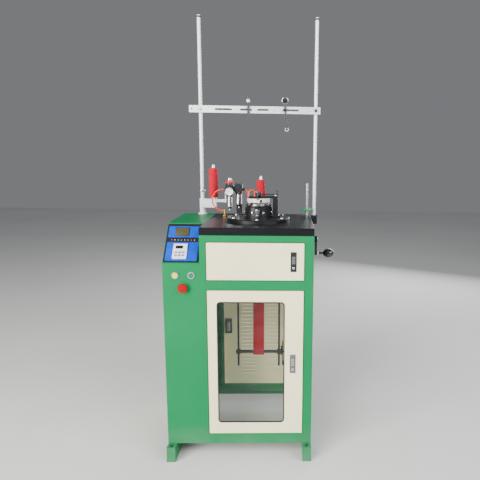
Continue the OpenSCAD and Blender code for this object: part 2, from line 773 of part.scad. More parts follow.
needle_t = 1.2;
module needles() color(steel) at_head() for (k = [0:needle_count - 1])
    rotate(k*360/needle_count) translate([0, needle_t/2, hub_top + 12 + seat])
        rotate([90, 0, 0]) linear_extrude(height = needle_t) polygon([
            [cyl_r - 2.7, 0], [cyl_r - 0.2, 0], [cyl_r - 0.2, 6], [cyl_r + 1.8, 6],
            [cyl_r + 1.8, 11], [cyl_r - 0.2, 11], [cyl_r - 0.2, 30], [cyl_r - 1.4, 32],
            [cyl_r - 1.4, cyl_top - 23], [cyl_r - 0.6, cyl_top - 21], [cyl_r + 0.6, cyl_top - 19.6],
            [cyl_r + 1.6, cyl_top - 20.6], [cyl_r + 1.8, cyl_top - 22.4],
            [cyl_r + 2.4, cyl_top - 20.4], [cyl_r + 1.6, cyl_top - 18.4],
            [cyl_r, cyl_top - 17.8], [cyl_r - 1.6, cyl_top - 19.2], [cyl_r - 2.7, cyl_top - 22]]);

module feeder_ring() color(white) at_head() translate([0, 0, feeder_z]) difference() {
    inner = feeder_r - feeder_wall;
    rotate_extrude() polygon([[inner, 1], [inner + 1, 0], [feeder_r - 1.5, 0], [feeder_r, 1.5],
                              [feeder_r, feeder_h - 1.5], [feeder_r - 1.5, feeder_h],
                              [inner + 1, feeder_h], [inner, feeder_h - 1]]);
    for (a = [0:60:300]) rotate(a) translate([inner - 2, 0, feeder_h/2]) rotate([0, 90, 0])
        cylinder(r = 2.5, h = feeder_wall + 4);
    for (a = [-90, -40, 40, 90]) rotate(a) translate([inner - 1, -5, feeder_h - 5])
        cube([feeder_wall + 2, 10, 6]);
}

module dial_bracket() color(black) at_head() {
    translate([column_x, -12, base_top]) cube([column_w, 24, yoke_z - base_top + yoke_t]);
    translate([column_x - 1, -20, base_top]) cube([column_w + 12, 40, 8]);
    difference() {
        union() {
            translate([0, -9, yoke_z]) cube([column_x + 2, 18, yoke_t]);
            translate([0, 0, yoke_z]) cylinder(r = 14, h = boss_h);
            for (a = [-148, 148]) translate([0, 0, yoke_z]) rotate(a) translate([0, -6, 0])
                cube([feeder_r - 1, 12, yoke_t - 3]);
        }
        translate([0, 0, yoke_z - 1]) cylinder(r = dial_shaft_r + run_gap, h = boss_h + 2);
    }
    // The thin yarn arm with its upturned eye
    translate([12, 0, yoke_z + 17]) rotate([0, 90, 0]) cylinder(r = 2, h = column_x + column_w - 14);
    translate([column_x + column_w - 2, 0, yoke_z + 14]) cylinder(r = 2.6, h = 13);
    translate([column_x + column_w - 2, 2, yoke_z + 31]) rotate([90, 0, 0]) ring(5, 3, 4);
}

dial_z = cyl_top_z - 8;
module dial() color(steel) at_head() {
    difference() {
        translate([0, 0, dial_z]) rotate_extrude()
            polygon([[0, 0], [dial_r - 4, 0], [dial_r, 4], [dial_r, 10], [dial_r - 3, 12], [0, 12]]);
        for (k = [0:dial_slots - 1]) rotate(k*360/dial_slots)
            translate([14, -0.8, dial_z + 9]) cube([dial_r, 1.6, 4]);
    }
    translate([0, 0, dial_z + 11]) cylinder(r = dial_shaft_r, h = yoke_z + boss_h - dial_z - 5);
    translate([0, 0, yoke_z + boss_h + seat]) cylinder(r = 10, h = 8, $fn = 6);
    translate([0, 0, yoke_z - 6.3]) cylinder(r = 10, h = 6);
}

// Drive under the table

// One slot between two teeth, as deep as the pinion's teeth need
function slot_shape(up, down) = [
    [-tooth_gap/2 - up*flank, up], [tooth_gap/2 + up*flank, up],
    [tooth_gap/2 - down*flank, -down], [-tooth_gap/2 + down*flank, -down]];

crown_in = crown_r - pinion_w/2 - 0.5;
crown_out = crown_r + pinion_w/2 + 1;
gear_r = rod_off + 6;
module drive_gear() color(steel) at_head() {
    difference() {
        union() {
            translate([0, 0, crown_top - crown_t]) cylinder(r = gear_r, h = crown_t);
            translate([0, 0, crown_top - 1]) ring(crown_out, crown_in, pitch_z + tooth_add - crown_top + 1);
            translate([0, 0, crown_top - crown_t]) cylinder(r = hub_r + 6, h = crown_t + 6);
            translate([0, 0, crown_top - crown_t]) cylinder(r = hub_r, h = hub_top - crown_top + crown_t);
        }
        translate([0, 0, crown_top - crown_t - 1])
            cylinder(r = hub_bore_r, h = hub_top - crown_top + crown_t + 2);
        for (k = [0:crown_teeth - 1]) rotate(k*360/crown_teeth)
            translate([crown_in - 2, 0, pitch_z]) rotate([90, 0, 90])
                linear_extrude(height = crown_out - crown_in + 6)
                    polygon(slot_shape(tooth_add + 1, tooth_ded + 0.2));
        for (a = [45:90:315]) rotate(a) translate([(hub_r + crown_in)/2 + 3, 0, crown_top - crown_t - 1])
            cylinder(r = 11, h = crown_t + 2);
    }
}

pinion_out = gear_m*pinion_teeth/2 + tooth_add;
pinion_root = gear_m*pinion_teeth/2 - tooth_ded;
tooth_half = (PI*gear_m - tooth_gap)/2;
// A pinion on the z axis, with a tooth pointing to +X
module pinion(w) linear_extrude(height = w) union() {
    circle(pinion_root);
    for (k = [0:pinion_teeth - 1]) rotate(k*360/pinion_teeth)
        polygon([[pinion_root - 1, -tooth_half - tooth_ded*flank], [pinion_out, -tooth_half + tooth_add*flank],
                 [pinion_out, tooth_half - tooth_add*flank], [pinion_root - 1, tooth_half + tooth_ded*flank]]);
}

arm_x = cabinet_w/2 + 13;
arm_t = 13;
module crank_shaft() color(steel) translate([0, head_y, shaft_z]) {
    along_x(head_x + crown_r - pinion_w/2) rotate(0) pinion(pinion_w);
    along_x(head_x + crown_r - pinion_w/2 - 2)
        cylinder(r = shaft_r, h = arm_x + arm_t - head_x - crown_r + pinion_w/2 + 2);
    along_x(inner_bearing_x - 4 - seat) cylinder(r = shaft_r + 4, h = 4);
    along_x(arm_x + arm_t) cylinder(r = shaft_r - 1.5, h = 4, $fn = 6);
}

inner_bearing_x = head_x + gear_r + 16;
bearing_w = 18;
flange_t = 6;
module shaft_bearings() color(black) translate([0, head_y, 0]) {
    difference() {
        union() {
            translate([inner_bearing_x, -20, shaft_z]) cube([bearing_w, 40, under_z - shaft_z]);
            translate([inner_bearing_x, 0, shaft_z]) rotate([0, 90, 0]) cylinder(r = 20, h = bearing_w);
            translate([inner_bearing_x - 10, -30, under_z - 8]) cube([bearing_w + 20, 60, 8]);
        }
        translate([inner_bearing_x - 1, 0, shaft_z]) rotate([0, 90, 0])
            cylinder(r = shaft_r + run_gap, h = bearing_w + 2);
    }
    difference() {
        union() {
            translate([cabinet_w/2, 0, shaft_z]) rotate([0, 90, 0]) cylinder(r = 24, h = flange_t);
            translate([cabinet_w/2, 0, shaft_z]) rotate([0, 90, 0]) cylinder(r = 15, h = 12.5);
        }
        translate([cabinet_w/2 - 1, 0, shaft_z]) rotate([0, 90, 0])
            cylinder(r = shaft_r + run_gap, h = 15);
        for (a = [45:90:315]) translate([cabinet_w/2 + flange_t - 3, 0, shaft_z]) rotate([a, 0, 0])
            translate([0, 19, 0]) rotate([0, 90, 0]) cylinder(r = 3, h = 5, $fn = 6);
    }
}

spindle_r = 4;
knob_start = 30;
spindle_l = knob_start + knob_l + 1.7;
module crank_arm() color(black) translate([arm_x, head_y, shaft_z]) {
    difference() {
        union() {
            rotate([0, 90, 0]) cylinder(r = 14, h = arm_t);
            translate([2, 0, 0]) rotate([90, 0, 90]) linear_extrude(height = 9)
                polygon([[-11, 0], [11, 0], [8, -crank_reach], [-8, -crank_reach]]);
            translate([2, 0, -crank_reach]) rotate([0, 90, 0]) cylinder(r = 9, h = 9);
        }
        translate([-1, 0, 0]) rotate([0, 90, 0]) cylinder(r = shaft_r, h = arm_t + 2);
    }
    translate([10, 0, -crank_reach]) rotate([0, 90, 0]) cylinder(r = spindle_r, h = spindle_l);
    translate([10 + spindle_l, 0, -crank_reach]) rotate([0, 90, 0]) cylinder(r = 6, h = 2);
}
module crank_knob() color(black)
    translate([arm_x + 11 + seat, head_y, shaft_z - crank_reach]) rotate([0, 90, 0]) difference() {
        rotate_extrude() polygon(concat([[0, 0], [7, 0], [7, 5], [5.5, 8], [5.5, knob_start - 2]],
            [for (k = [0:12]) let (a = -75 + 150*k/12)
                [4 + (knob_r - 4)*cos(a), knob_start + knob_l/2*(1 + sin(a)/sin(75))]],
            [[0, knob_start + knob_l]]));
        translate([0, 0, -1]) cylinder(r = spindle_r + run_gap, h = spindle_l + 4);
    }

motor_y = crown_r + pinion_w/2 + 13;
motor_half = 45;
motor_bracket_t = 5;
module drive_motor() color(black) translate([head_x, head_y + motor_y, shaft_z]) rotate([-90, 0, 0])
    difference() {
        union() {
            translate([-motor_half, -motor_half, 0]) cube([2*motor_half, 2*motor_half, 38]);
            translate([0, 0, 37]) cylinder(r = motor_half - 3, h = 60);
            for (k = [0:11]) rotate(k*30) translate([motor_half - 5, -1.5, 42]) cube([5, 3, 50]);
            translate([-24, -motor_half + 2, 50]) cube([48, 10, 40]);
            translate([0, 0, 96]) cylinder(r = motor_half - 7, h = 10);
        }
        translate([0, 0, -1]) cylinder(r = shaft_r - 2 + run_gap, h = 26);
    }
module motor_pinion() color(steel) translate([head_x, head_y, shaft_z]) rotate([-90, 0, 0]) {
    translate([0, 0, crown_r - pinion_w/2]) rotate(90) pinion(pinion_w);
    translate([0, 0, crown_r - pinion_w/2 - 3]) cylinder(r = 10, h = pinion_w + 5);
    translate([0, 0, crown_r - pinion_w/2 - 3]) cylinder(r = shaft_r - 2, h = motor_y - crown_r + 26);
}
module motor_bracket() color(green) translate([head_x, head_y, 0]) {
    difference() {
        translate([-50, motor_y - motor_bracket_t, shaft_z - motor_half - 4])
            cube([100, motor_bracket_t, under_z - shaft_z + motor_half + 4]);
        translate([0, motor_y - motor_bracket_t - 1, shaft_z]) rotate([-90, 0, 0])
            cylinder(r = 18, h = motor_bracket_t + 2);
    }
    translate([-50, motor_y - eps, under_z - 5]) cube([100, 80, 5]);
}

// Take-down, which turns with the needle cylinder

gear_low_z = crown_top - crown_t;
eye_w = 18;
journal_r = 4;
module takedown_frame() color(black) at_head() for (s = [-1, 1]) difference() {
    union() {
        translate([s*rod_off, 0, rod_low_z]) cylinder(r = rod_r, h = gear_low_z - rod_low_z);
        translate([s*rod_off, 0, gear_low_z - 8]) cylinder(r = rod_r + 4, h = 8, $fn = 6);
        translate([s*rod_off - eye_w/2, -9, roller_z - 10]) cube([eye_w, 18, 20]);
    }
    translate([s*rod_off - eye_w, 0, roller_z]) rotate([0, 90, 0])
        cylinder(r = journal_r + run_gap, h = 2*eye_w);
}
eye_in = rod_off - eye_w/2;
eye_out = rod_off + eye_w/2;
ratchet_teeth = 16;
module takedown_roller() color(black) at_head() translate([0, 0, roller_z]) {
    along_x(-eye_in + seat) cylinder(r = roller_r, h = 2*(eye_in - seat));
    along_x(-eye_out - 3) cylinder(r = journal_r, h = 2*eye_out + 16);
    along_x(-eye_out - 3 - eps) cylinder(r = 7, h = 3 - seat);
    along_x(eye_out + seat) linear_extrude(height = 5) difference() {
        circle(ratchet_r);
        for (k = [0:ratchet_teeth - 1]) rotate(k*360/ratchet_teeth)
            polygon([[ratchet_r - 3, 0], [ratchet_r + 1, 0],
                     [(ratchet_r + 1)*cos(360/ratchet_teeth), (ratchet_r + 1)*sin(360/ratchet_teeth)]]);
    }
}
lever_x = eye_out + seat + 5 + seat;
module pawl_lever() color(black) at_head() translate([lever_x, 0, roller_z]) difference() {
    union() {
        translate([0, -6, -56]) cube([4, 12, 108]);
        rotate([0, 90, 0]) cylinder(r = 9, h = 4);
        translate([-5.2, -4, ratchet_r + 0.5]) cube([6, 8, 12]);
        translate([0, -8, -64]) cube([6, 16, 16]);
    }
    translate([-1, 0, 0]) rotate([0, 90, 0]) cylinder(r = journal_r + run_gap, h = 8);
}

// The knitted tube: round under the cylinder, drawn flat past the front of the roller
tube_wall = 1.2;
tube_front = roller_r + 0.6;
neck_r = sqrt(tube_w*tube_w/4 + pow(tube_front + 2*tube_wall + 1.5, 2));
loop_r = cyl_r - 2.7;
gather_z = gear_low_z - 20;
flat_z = gather_z - 200;
tube_low_z = roller_z - 13;

// The tube's upper part, as a solid of the given radii at the rim and at the neck
module tube_lathe(rim_r, r, top) rotate_extrude() polygon([[0, gather_z], [r, gather_z],
    [r, cyl_top_z - 70], [rim_r, cyl_top_z - 12], [rim_r, top], [0, top]]);

// Its lower part, which two planes press flat: front and back are the planes' places at the bottom
module tube_taper(r, front, back, z0) intersection() {
    translate([0, 0, z0]) cylinder(r = r, h = gather_z - z0);
    translate([-r - 1, 0, 0]) rotate([90, 0, 90]) linear_extrude(height = 2*r + 2)
        polygon([[front, z0], [back, z0], [r + 1.5, gather_z], [-r - 1.5, gather_z]]);
}
module knitted_tube() color(red) at_head() {
    difference() {
        union() {
            tube_lathe(cyl_bore_r - 0.6, neck_r, cyl_top_z);
            translate([0, 0, cyl_top_z]) cylinder(r = loop_r, h = 1);
            tube_taper(neck_r, -tube_front - 2*tube_wall - 0.4, -tube_front + 0.4, flat_z);
        }
        tube_lathe(cyl_bore_r - 0.6 - tube_wall, neck_r - tube_wall, cyl_top_z + 2);
        tube_taper(neck_r - tube_wall, -tube_front - tube_wall - 0.5, -tube_front - tube_wall + 0.5,
                   flat_z + 12);
    }
    // The flat end in front of the roller
    translate([-tube_w/2, -tube_front - 2*tube_wall, tube_low_z])
        cube([tube_w, 2*tube_wall, flat_z + 3 - tube_low_z]);
}

// Yarn stand

right_post_x = cabinet_w/2 + post_out;
foot_r = post_r + 5;
collar_z = table_z + 36;
collar_h = 40;
module stand_posts() color(white) {
    translate([-post_left, post_y, table_z]) cylinder(r = post_r, h = post_top_z - table_z);
    translate([right_post_x, post_y, table_z - 32]) cylinder(r = post_r, h = post_top_z - table_z + 32);
}
shelf_t = 4;
plate_l = 72;
module post_foot() color(white) difference() {
    union() {
        translate([-post_left, post_y, table_z]) cylinder(r = foot_r, h = collar_z + collar_h - table_z);
        translate([-post_left, post_y, table_z]) cylinder(r = foot_r + 8, h = 5);
        // Plate and shelf for the left package, and the bar to the air unit
        translate([-post_left, post_y - 14, collar_z]) cube([plate_l, 4, collar_h]);
        translate([-post_left + 14, left_cone_y - 24, collar_z + collar_h - shelf_t])
            cube([plate_l - 14, post_y - 10 - left_cone_y + 24, shelf_t]);
        translate([-post_left + 14, left_cone_y - 24, collar_z]) cube([plate_l - 14, 4, collar_h]);
        translate([-post_left + plate_l - 1, left_cone_y - 24, collar_z + collar_h - 14])
            cube([air_x - 18 + post_left - plate_l + 1, 4, 13]);
        translate([air_x - 22, air_y + 10, collar_z + collar_h - 14])
            cube([4, left_cone_y - 20 - air_y - 10, 13]);
        translate([air_x - 22, air_y - 4, collar_z + collar_h - 14]) cube([4, 15, 42]);
    }
    translate([-post_left, post_y, table_z - 1]) cylinder(r = post_r, h = 120);
}
module post_bracket() color(black) difference() {
    translate([cabinet_w/2, post_y - 16, table_z - 42]) cube([post_out + 14, 32, 42]);
    translate([right_post_x, post_y, table_z - 32]) cylinder(r = post_r, h = 40);
    translate([right_post_x + 2, post_y, table_z - 14]) rotate([0, 90, 0]) cylinder(r = 3, h = 14);
}

bar_x0 = -post_left - bar_left_over;
bar_x1 = right_post_x + bar_right_over;
bar_y = post_y - post_r - 4 - bar_t;
guide_x = [9, 180];
module slot_hole(x0, l, h) translate([x0, bar_y - 1, bar_z - h/2]) {
    translate([h/2, 0, 0]) cube([l - h, bar_t + 2, h]);
    for (x = [h/2, l - h/2]) translate([x, 0, h/2]) rotate([-90, 0, 0]) cylinder(r = h/2, h = bar_t + 2);
}
module crossbar() color(white) difference() {
    translate([bar_x0, bar_y, bar_z - bar_h/2]) cube([bar_x1 - bar_x0, bar_t, bar_h]);
    slot_hole(-147, 80, 9);
    slot_hole(-30, 56, 9);
    slot_hole(50, 54, 9);
    slot_hole(168, 76, 9);
    for (x = [bar_x0 + 12, -post_left, right_post_x]) translate([x, bar_y - 1, bar_z])
        rotate([-90, 0, 0]) cylinder(r = 4, h = bar_t + 2);
}
module crossbar_clamps() color(steel) for (x = [-post_left, right_post_x]) translate([x, 0, bar_z]) {
    difference() {
        translate([-13, post_y - post_r - 4, -14]) cube([26, 2*post_r + 10, 28]);
        translate([0, post_y, -15]) cylinder(r = post_r + run_gap, h = 30);
    }
    translate([0, bar_y - 7, 0]) rotate([-90, 0, 0]) cylinder(r = 3.9, h = bar_t + 7);
    translate([0, bar_y - 5, 0]) rotate([-90, 0, 0]) cylinder(r = 8, h = 5, $fn = 6);
}
module yarn_guides() color(steel) {
    // Left guide: a tall stem with a ball nut
    translate([guide_x[0], bar_y, bar_z]) {
        translate([0, -8, -40]) cylinder(r = 5, h = 74);
        translate([0, -8, 40]) sphere(r = 8);
        translate([0, -8, 52]) cylinder(r = 5, h = 10);
        translate([0, -8, 33]) cylinder(r = 3, h = 22);
        translate([0, -9, 0]) rotate([-90, 0, 0]) cylinder(r = 3.9, h = 9 + bar_t + 6);
        translate([0, bar_t, 0]) rotate([-90, 0, 0]) cylinder(r = 8, h = 5, $fn = 6);
        translate([-7, -12, -6]) cube([14, 12, 12]);
    }
    // Right guide: tension discs above the bar and a hook with an eye below it
    translate([guide_x[1], bar_y, bar_z]) {
        translate([0, -8, -44]) cylinder(r = 4, h = 100);
        translate([0, -20, 42]) rotate([-90, 0, 0]) cylinder(r = 3, h = 26);
        for (y = [-17, -12.4]) translate([0, y, 42]) rotate([-90, 0, 0]) cylinder(r = 14, h = 1.6);
        translate([0, -9, 0]) rotate([-90, 0, 0]) cylinder(r = 3.9, h = 9 + bar_t + 6);
        translate([0, bar_t, 0]) rotate([-90, 0, 0]) cylinder(r = 8, h = 5, $fn = 6);
        translate([-7, -12, -6]) cube([14, 12, 12]);
        translate([0, -8, -44]) rotate([0, 60, 0]) cylinder(r = 3, h = 12);
        translate([9, -8, -88]) cylinder(r = 4, h = 51);
    }
}

peg_disc_r = 28;
peg_disc_t = 4;
left_cone_z = collar_z + collar_h + 7;
right_cone_z = table_z + 31;
module yarn_pegs() color(steel) {
    translate([left_cone_x, left_cone_y, collar_z + collar_h]) {
        cylinder(r = 14, h = 7);
        cylinder(r = 5, h = cone_h + 14);
    }
    translate([right_cone_x, right_cone_y, table_z]) {
        cylinder(r = 8, h = 27);
        translate([0, 0, 26]) cylinder(r = 16, h = 5);
        cylinder(r = 5, h = 31 + cone_h + 7);
    }
    translate([spare_peg_x, spare_peg_y, table_z]) {
        cylinder(r = 7, h = 28);
        cylinder(r = 5.5, h = 153);
        translate([0, 0, 28]) cylinder(r = peg_disc_r, h = peg_disc_t);
    }
}
module yarn_package(x, y, z) translate([x, y, z]) difference() {
    union() {
        rotate_extrude() polygon(concat([[0, 0], [cone_r - 4, 0], [cone_r - 1, 4], [cone_r, 30]],
            [for (k = [1:5]) [cone_r - 1.5*(k/5)*(k/5), 30 + (cone_h - 50)*k/5]],
            [for (k = [1:4]) [(cone_r - 1.5)*cos(k*15) + 1, cone_h - 20 + 18*sin(k*22.5)]],
            [[0, cone_h - 2]]));
        cylinder(r = 8, h = cone_h + 15);
    }
    translate([0, 0, -1]) cylinder(r = 5 + seat, h = cone_h + 13);
}
module yarn_packages() color(red) {
    yarn_package(left_cone_x, left_cone_y, left_cone_z);
    yarn_package(right_cone_x, right_cone_y, right_cone_z);
}

// Air unit

block_z = table_z + 112;
block_h = 38;
module air_unit() color(black) {
    difference() {
        union() {
            translate([air_x - 18, air_y - 18, block_z - 12]) cube([36, 36, block_h + 8]);
            translate([air_x, air_y, block_z + block_h - 5]) cylinder(r = 15, h = 8);
            translate([oiler_x - 17, air_y - 17, block_z]) cube([34, 34, block_h]);
            translate([air_x, air_y - 10, block_z + 4]) cube([oiler_x - air_x, 20, 22]);
            // Bracket down to the table
            translate([oiler_x - 14, air_y + 15, table_z]) cube([28, 5, block_z + block_h - table_z]);
            translate([oiler_x - 14, air_y + 15, table_z]) cube([28, 24, 5]);
            // Inlet and outlet stubs
            translate([air_x - 26, air_y, tube_in_z]) rotate([0, 90, 0]) cylinder(r = 6, h = 10);
            translate([oiler_x + 16, air_y, tube_in_z]) rotate([0, 90, 0])
                cylinder(r = 6, h = outlet_x - oiler_x - 16);
            translate([outlet_x, air_y, tube_in_z]) sphere(r = 6.5);
            translate([outlet_x, air_y, tube_in_z]) rotate(oil_turn) rotate([0, 90, 0])
                cylinder(r = 5, h = elbow_l, $fn = 6);
            for (s = [-1, 1]) translate([oiler_x + s*9, air_y, block_z + block_h - 1])
                cylinder(r = 5, h = 9);
        }
        translate([air_x, air_y, block_z + block_h - 12]) cylinder(r = 8 + run_gap, h = 20);
    }
}
module air_bowls() color(steel) {
    translate([air_x, air_y, 0]) {
        translate([0, 0, table_z + 44]) cylinder(r = filter_r, h = block_z - 12 - table_z - 44);
        translate([0, 0, table_z + 44]) sphere(r = filter_r);
        translate([0, 0, table_z + 26]) cylinder(r = 4, h = 10);
    }
    translate([oiler_x, air_y - 1, 0]) {
        translate([0, 0, table_z + 58]) cylinder(r = oiler_r, h = block_z - table_z - 58);
        translate([0, 0, table_z + 58]) sphere(r = oiler_r);
        translate([0, 0, table_z + 36]) cylinder(r = 4, h = 10);
    }
}
gauge_z = table_z + 118;
module air_gauge() color(white) translate([air_x, air_y - 18, gauge_z]) rotate([90, 0, 0]) difference() {
    union() {
        cylinder(r = 6, h = 8);
        translate([0, 0, 6]) cylinder(r = gauge_r, h = 14);
    }
    translate([0, 0, 18]) cylinder(r = gauge_r - 2, h = 4);
}
module pressure_knob() color(red) translate([air_x, air_y, block_z + block_h + 3]) {
    translate([0, 0, seat]) cylinder(r = 17, h = 10);
    translate([0, 0, -14]) cylinder(r = 8, h = 16);
    translate([0, 0, 9]) cylinder(r = 10, h = 16);
    for (k = [0:11]) rotate(k*30) translate([16, -1.5, seat]) cube([2, 3, 10]);
}
tube_in_z = block_z + 12;
loop_bend = 50;
loop_x = air_x - 32;
fitting_stub_z = tube_in_z - 2*loop_bend;
oil_z = base_top + 35;
outlet_x = oiler_x + 25;
elbow_l = 10;
oil_turn = atan2(head_y - air_y, head_x - outlet_x);
oil_run = sqrt(pow(head_x - outlet_x, 2) + pow(air_y - head_y, 2)) - drum_r - elbow_l;
oil_drop = tube_in_z - oil_z;

// A bend in the vertical plane, round its centre, from angle a0 over a degrees
module bend(r, a0, a) rotate([90, 0, 0]) rotate(a0) rotate_extrude(angle = a) translate([r, 0])
    circle(r = tube_r, $fn = 24);

module air_tubes() color(orange) {
    // The loop from the air unit's inlet down to the table fitting
    translate([loop_x, air_y, tube_in_z - loop_bend]) bend(loop_bend, 90, 180);
    translate([loop_x - eps, air_y, tube_in_z]) rotate([0, 90, 0])
        cylinder(r = tube_r, h = air_x - 26 - loop_x + 2*eps, $fn = 24);
    // The oil line from the outlet to the cam drum
    translate([outlet_x, air_y, 0]) rotate(oil_turn) translate([elbow_l, 0, 0]) {
        half = oil_drop/2;
        translate([0, 0, tube_in_z - half]) bend(half, 90, -90);
        translate([2*half, 0, oil_z + half]) bend(half, 180, 90);
        translate([2*half - eps, 0, oil_z]) rotate([0, 90, 0])
            cylinder(r = tube_r, h = oil_run - 2*half + 2*eps, $fn = 24);
    }
    // The arch over the dial bracket's rear arm
    at_head() rotate(-148) translate([33, 0, yoke_z + yoke_t - 3]) {
        for (s = [-1, 1]) translate([s*15, 0, -eps]) cylinder(r = tube_r, h = 15 + 2*eps, $fn = 24);
        translate([0, 0, 15]) bend(15, 0, 180);
    }
}
module table_fitting() color([0.8, 0.65, 0.35]) translate([loop_x, air_y, table_z]) {
    translate([8, 0, 0]) cylinder(r = 13, h = 4);
    translate([8, 0, 3]) cylinder(r = 9, h = 8, $fn = 6);
    translate([8, 0, 10]) cylinder(r = 6, h = fitting_stub_z - table_z - 4);
    translate([0, 0, fitting_stub_z - table_z]) rotate([0, 90, 0]) cylinder(r = 5.5, h = 8);
}

front_frame();
left_frame();
right_frame();
rear_frame();
divider_wall();
skids();
table_top();
console_cover();
control_panel();
keypad();
button_bodies();
jog_button();
start_button();
stop_button();
front_upper_door();
front_upper_latch();
front_lower_door();
front_window();
front_lower_latch();
right_door();
right_window();
rear_door();
left_upper_door();
left_lower_door();
electrics_plate();
inverter_drive();
head_base();
cam_drum();
main_bearing();
feeder_ring();
dial_bracket();
dial();
needle_cylinder();
needles();
drive_gear();
takedown_frame();
takedown_roller();
pawl_lever();
knitted_tube();
crank_shaft();
shaft_bearings();
crank_arm();
crank_knob();
drive_motor();
motor_bracket();
motor_pinion();
stand_posts();
post_foot();
post_bracket();
crossbar();
crossbar_clamps();
yarn_guides();
yarn_pegs();
yarn_packages();
air_unit();
air_bowls();
air_gauge();
pressure_knob();
air_tubes();
table_fitting();
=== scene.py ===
"""Looks of a small circular knitting machine on its sheet metal cabinet.

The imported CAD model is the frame. Every CAD node keeps its shape and gets a procedural finish, the
knitted tube, the yarn packages and the air tubes are rebuilt as what they are, and small fittings such
as screws, lamps, keys and gauge faces are added. Lengths are in millimetres, and the mesh helpers turn
them into metres. In metres from the start are the materials' depths and heights, the lights, the camera
and the flat size of the tube.
"""
import json
import math

import bmesh
import bpy
from mathutils import Matrix, Vector


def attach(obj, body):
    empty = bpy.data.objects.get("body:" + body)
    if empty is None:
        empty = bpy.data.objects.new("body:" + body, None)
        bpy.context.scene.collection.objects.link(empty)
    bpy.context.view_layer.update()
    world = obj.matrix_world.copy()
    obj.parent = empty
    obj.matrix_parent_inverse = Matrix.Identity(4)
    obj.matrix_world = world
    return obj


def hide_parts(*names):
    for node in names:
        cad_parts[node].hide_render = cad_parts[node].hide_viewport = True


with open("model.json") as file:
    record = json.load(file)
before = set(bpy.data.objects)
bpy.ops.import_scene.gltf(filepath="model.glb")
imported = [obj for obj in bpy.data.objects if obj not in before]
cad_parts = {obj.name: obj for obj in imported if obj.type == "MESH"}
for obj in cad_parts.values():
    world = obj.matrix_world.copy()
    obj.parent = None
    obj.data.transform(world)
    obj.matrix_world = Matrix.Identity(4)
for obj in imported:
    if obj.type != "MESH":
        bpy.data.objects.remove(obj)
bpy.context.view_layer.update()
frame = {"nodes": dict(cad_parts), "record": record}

MM = 0.001
PI = math.pi

# Places and sizes of the part that the added pieces follow
LEFT_X, RIGHT_X = -305, 305
FRONT_Y, REAR_Y = -235, 235
TABLE_Z, CONSOLE_Z, SLOPE_RUN = 1000, 852, 127.5
SLOPE_DEG = math.degrees(math.atan2(TABLE_Z - CONSOLE_Z, SLOPE_RUN))
PANEL_T = 3
PLATE_CORNER = (-172, -150, 180)
HEAD = (67, 5)
NEEDLES = 48
DRUM_R = 60
CYL_TOP_Z = TABLE_Z + 72
FEEDER_Z = TABLE_Z + 81
ROLLER_Z = 381
CRANK_Y, CRANK_Z, GRIP_Z = 5, 916, 852
POST_XS, POST_Y = (-215, 324), 212
BAR_Y, BAR_Z = 195, 1492
AIR_X, AIR_Y, OILER_X = -76, 145, -33
BLOCK_Z = TABLE_Z + 112
PACKAGES = ((-158, 192, 1083), (66, 192, 1031))

# Each door's side, left edge, bottom edge, width, height, and how far from its right edge the latch is
DOORS = {
    "upper_door": ("front", 177, 786, 393, 153, 42),
    "lower_door": ("front", 177, 111, 393, 630, 42),
    "side_door": ("right", 50, 111, 357, 630, 42),
    "back_door": ("rear", 40, 111, 393, 630, 29),
    "console_lower_door": ("left", 63, 111, 357, 398, 60),
    "console_upper_door": ("left", 63, 556, 357, 402, 60),
}


# Materials

def linear(rgb):
    """An sRGB colour from 0 to 255 as linear values from 0 to 1."""
    out = []
    for c in rgb:
        c /= 255
        out.append(c / 12.92 if c <= 0.04045 else ((c + 0.055) / 1.055) ** 2.4)
    return (*out, 1)


def tone(colour, factor):
    """The colour, lighter or darker by a factor."""
    return tuple(min(1, c * factor) for c in colour[:3]) + (1,)


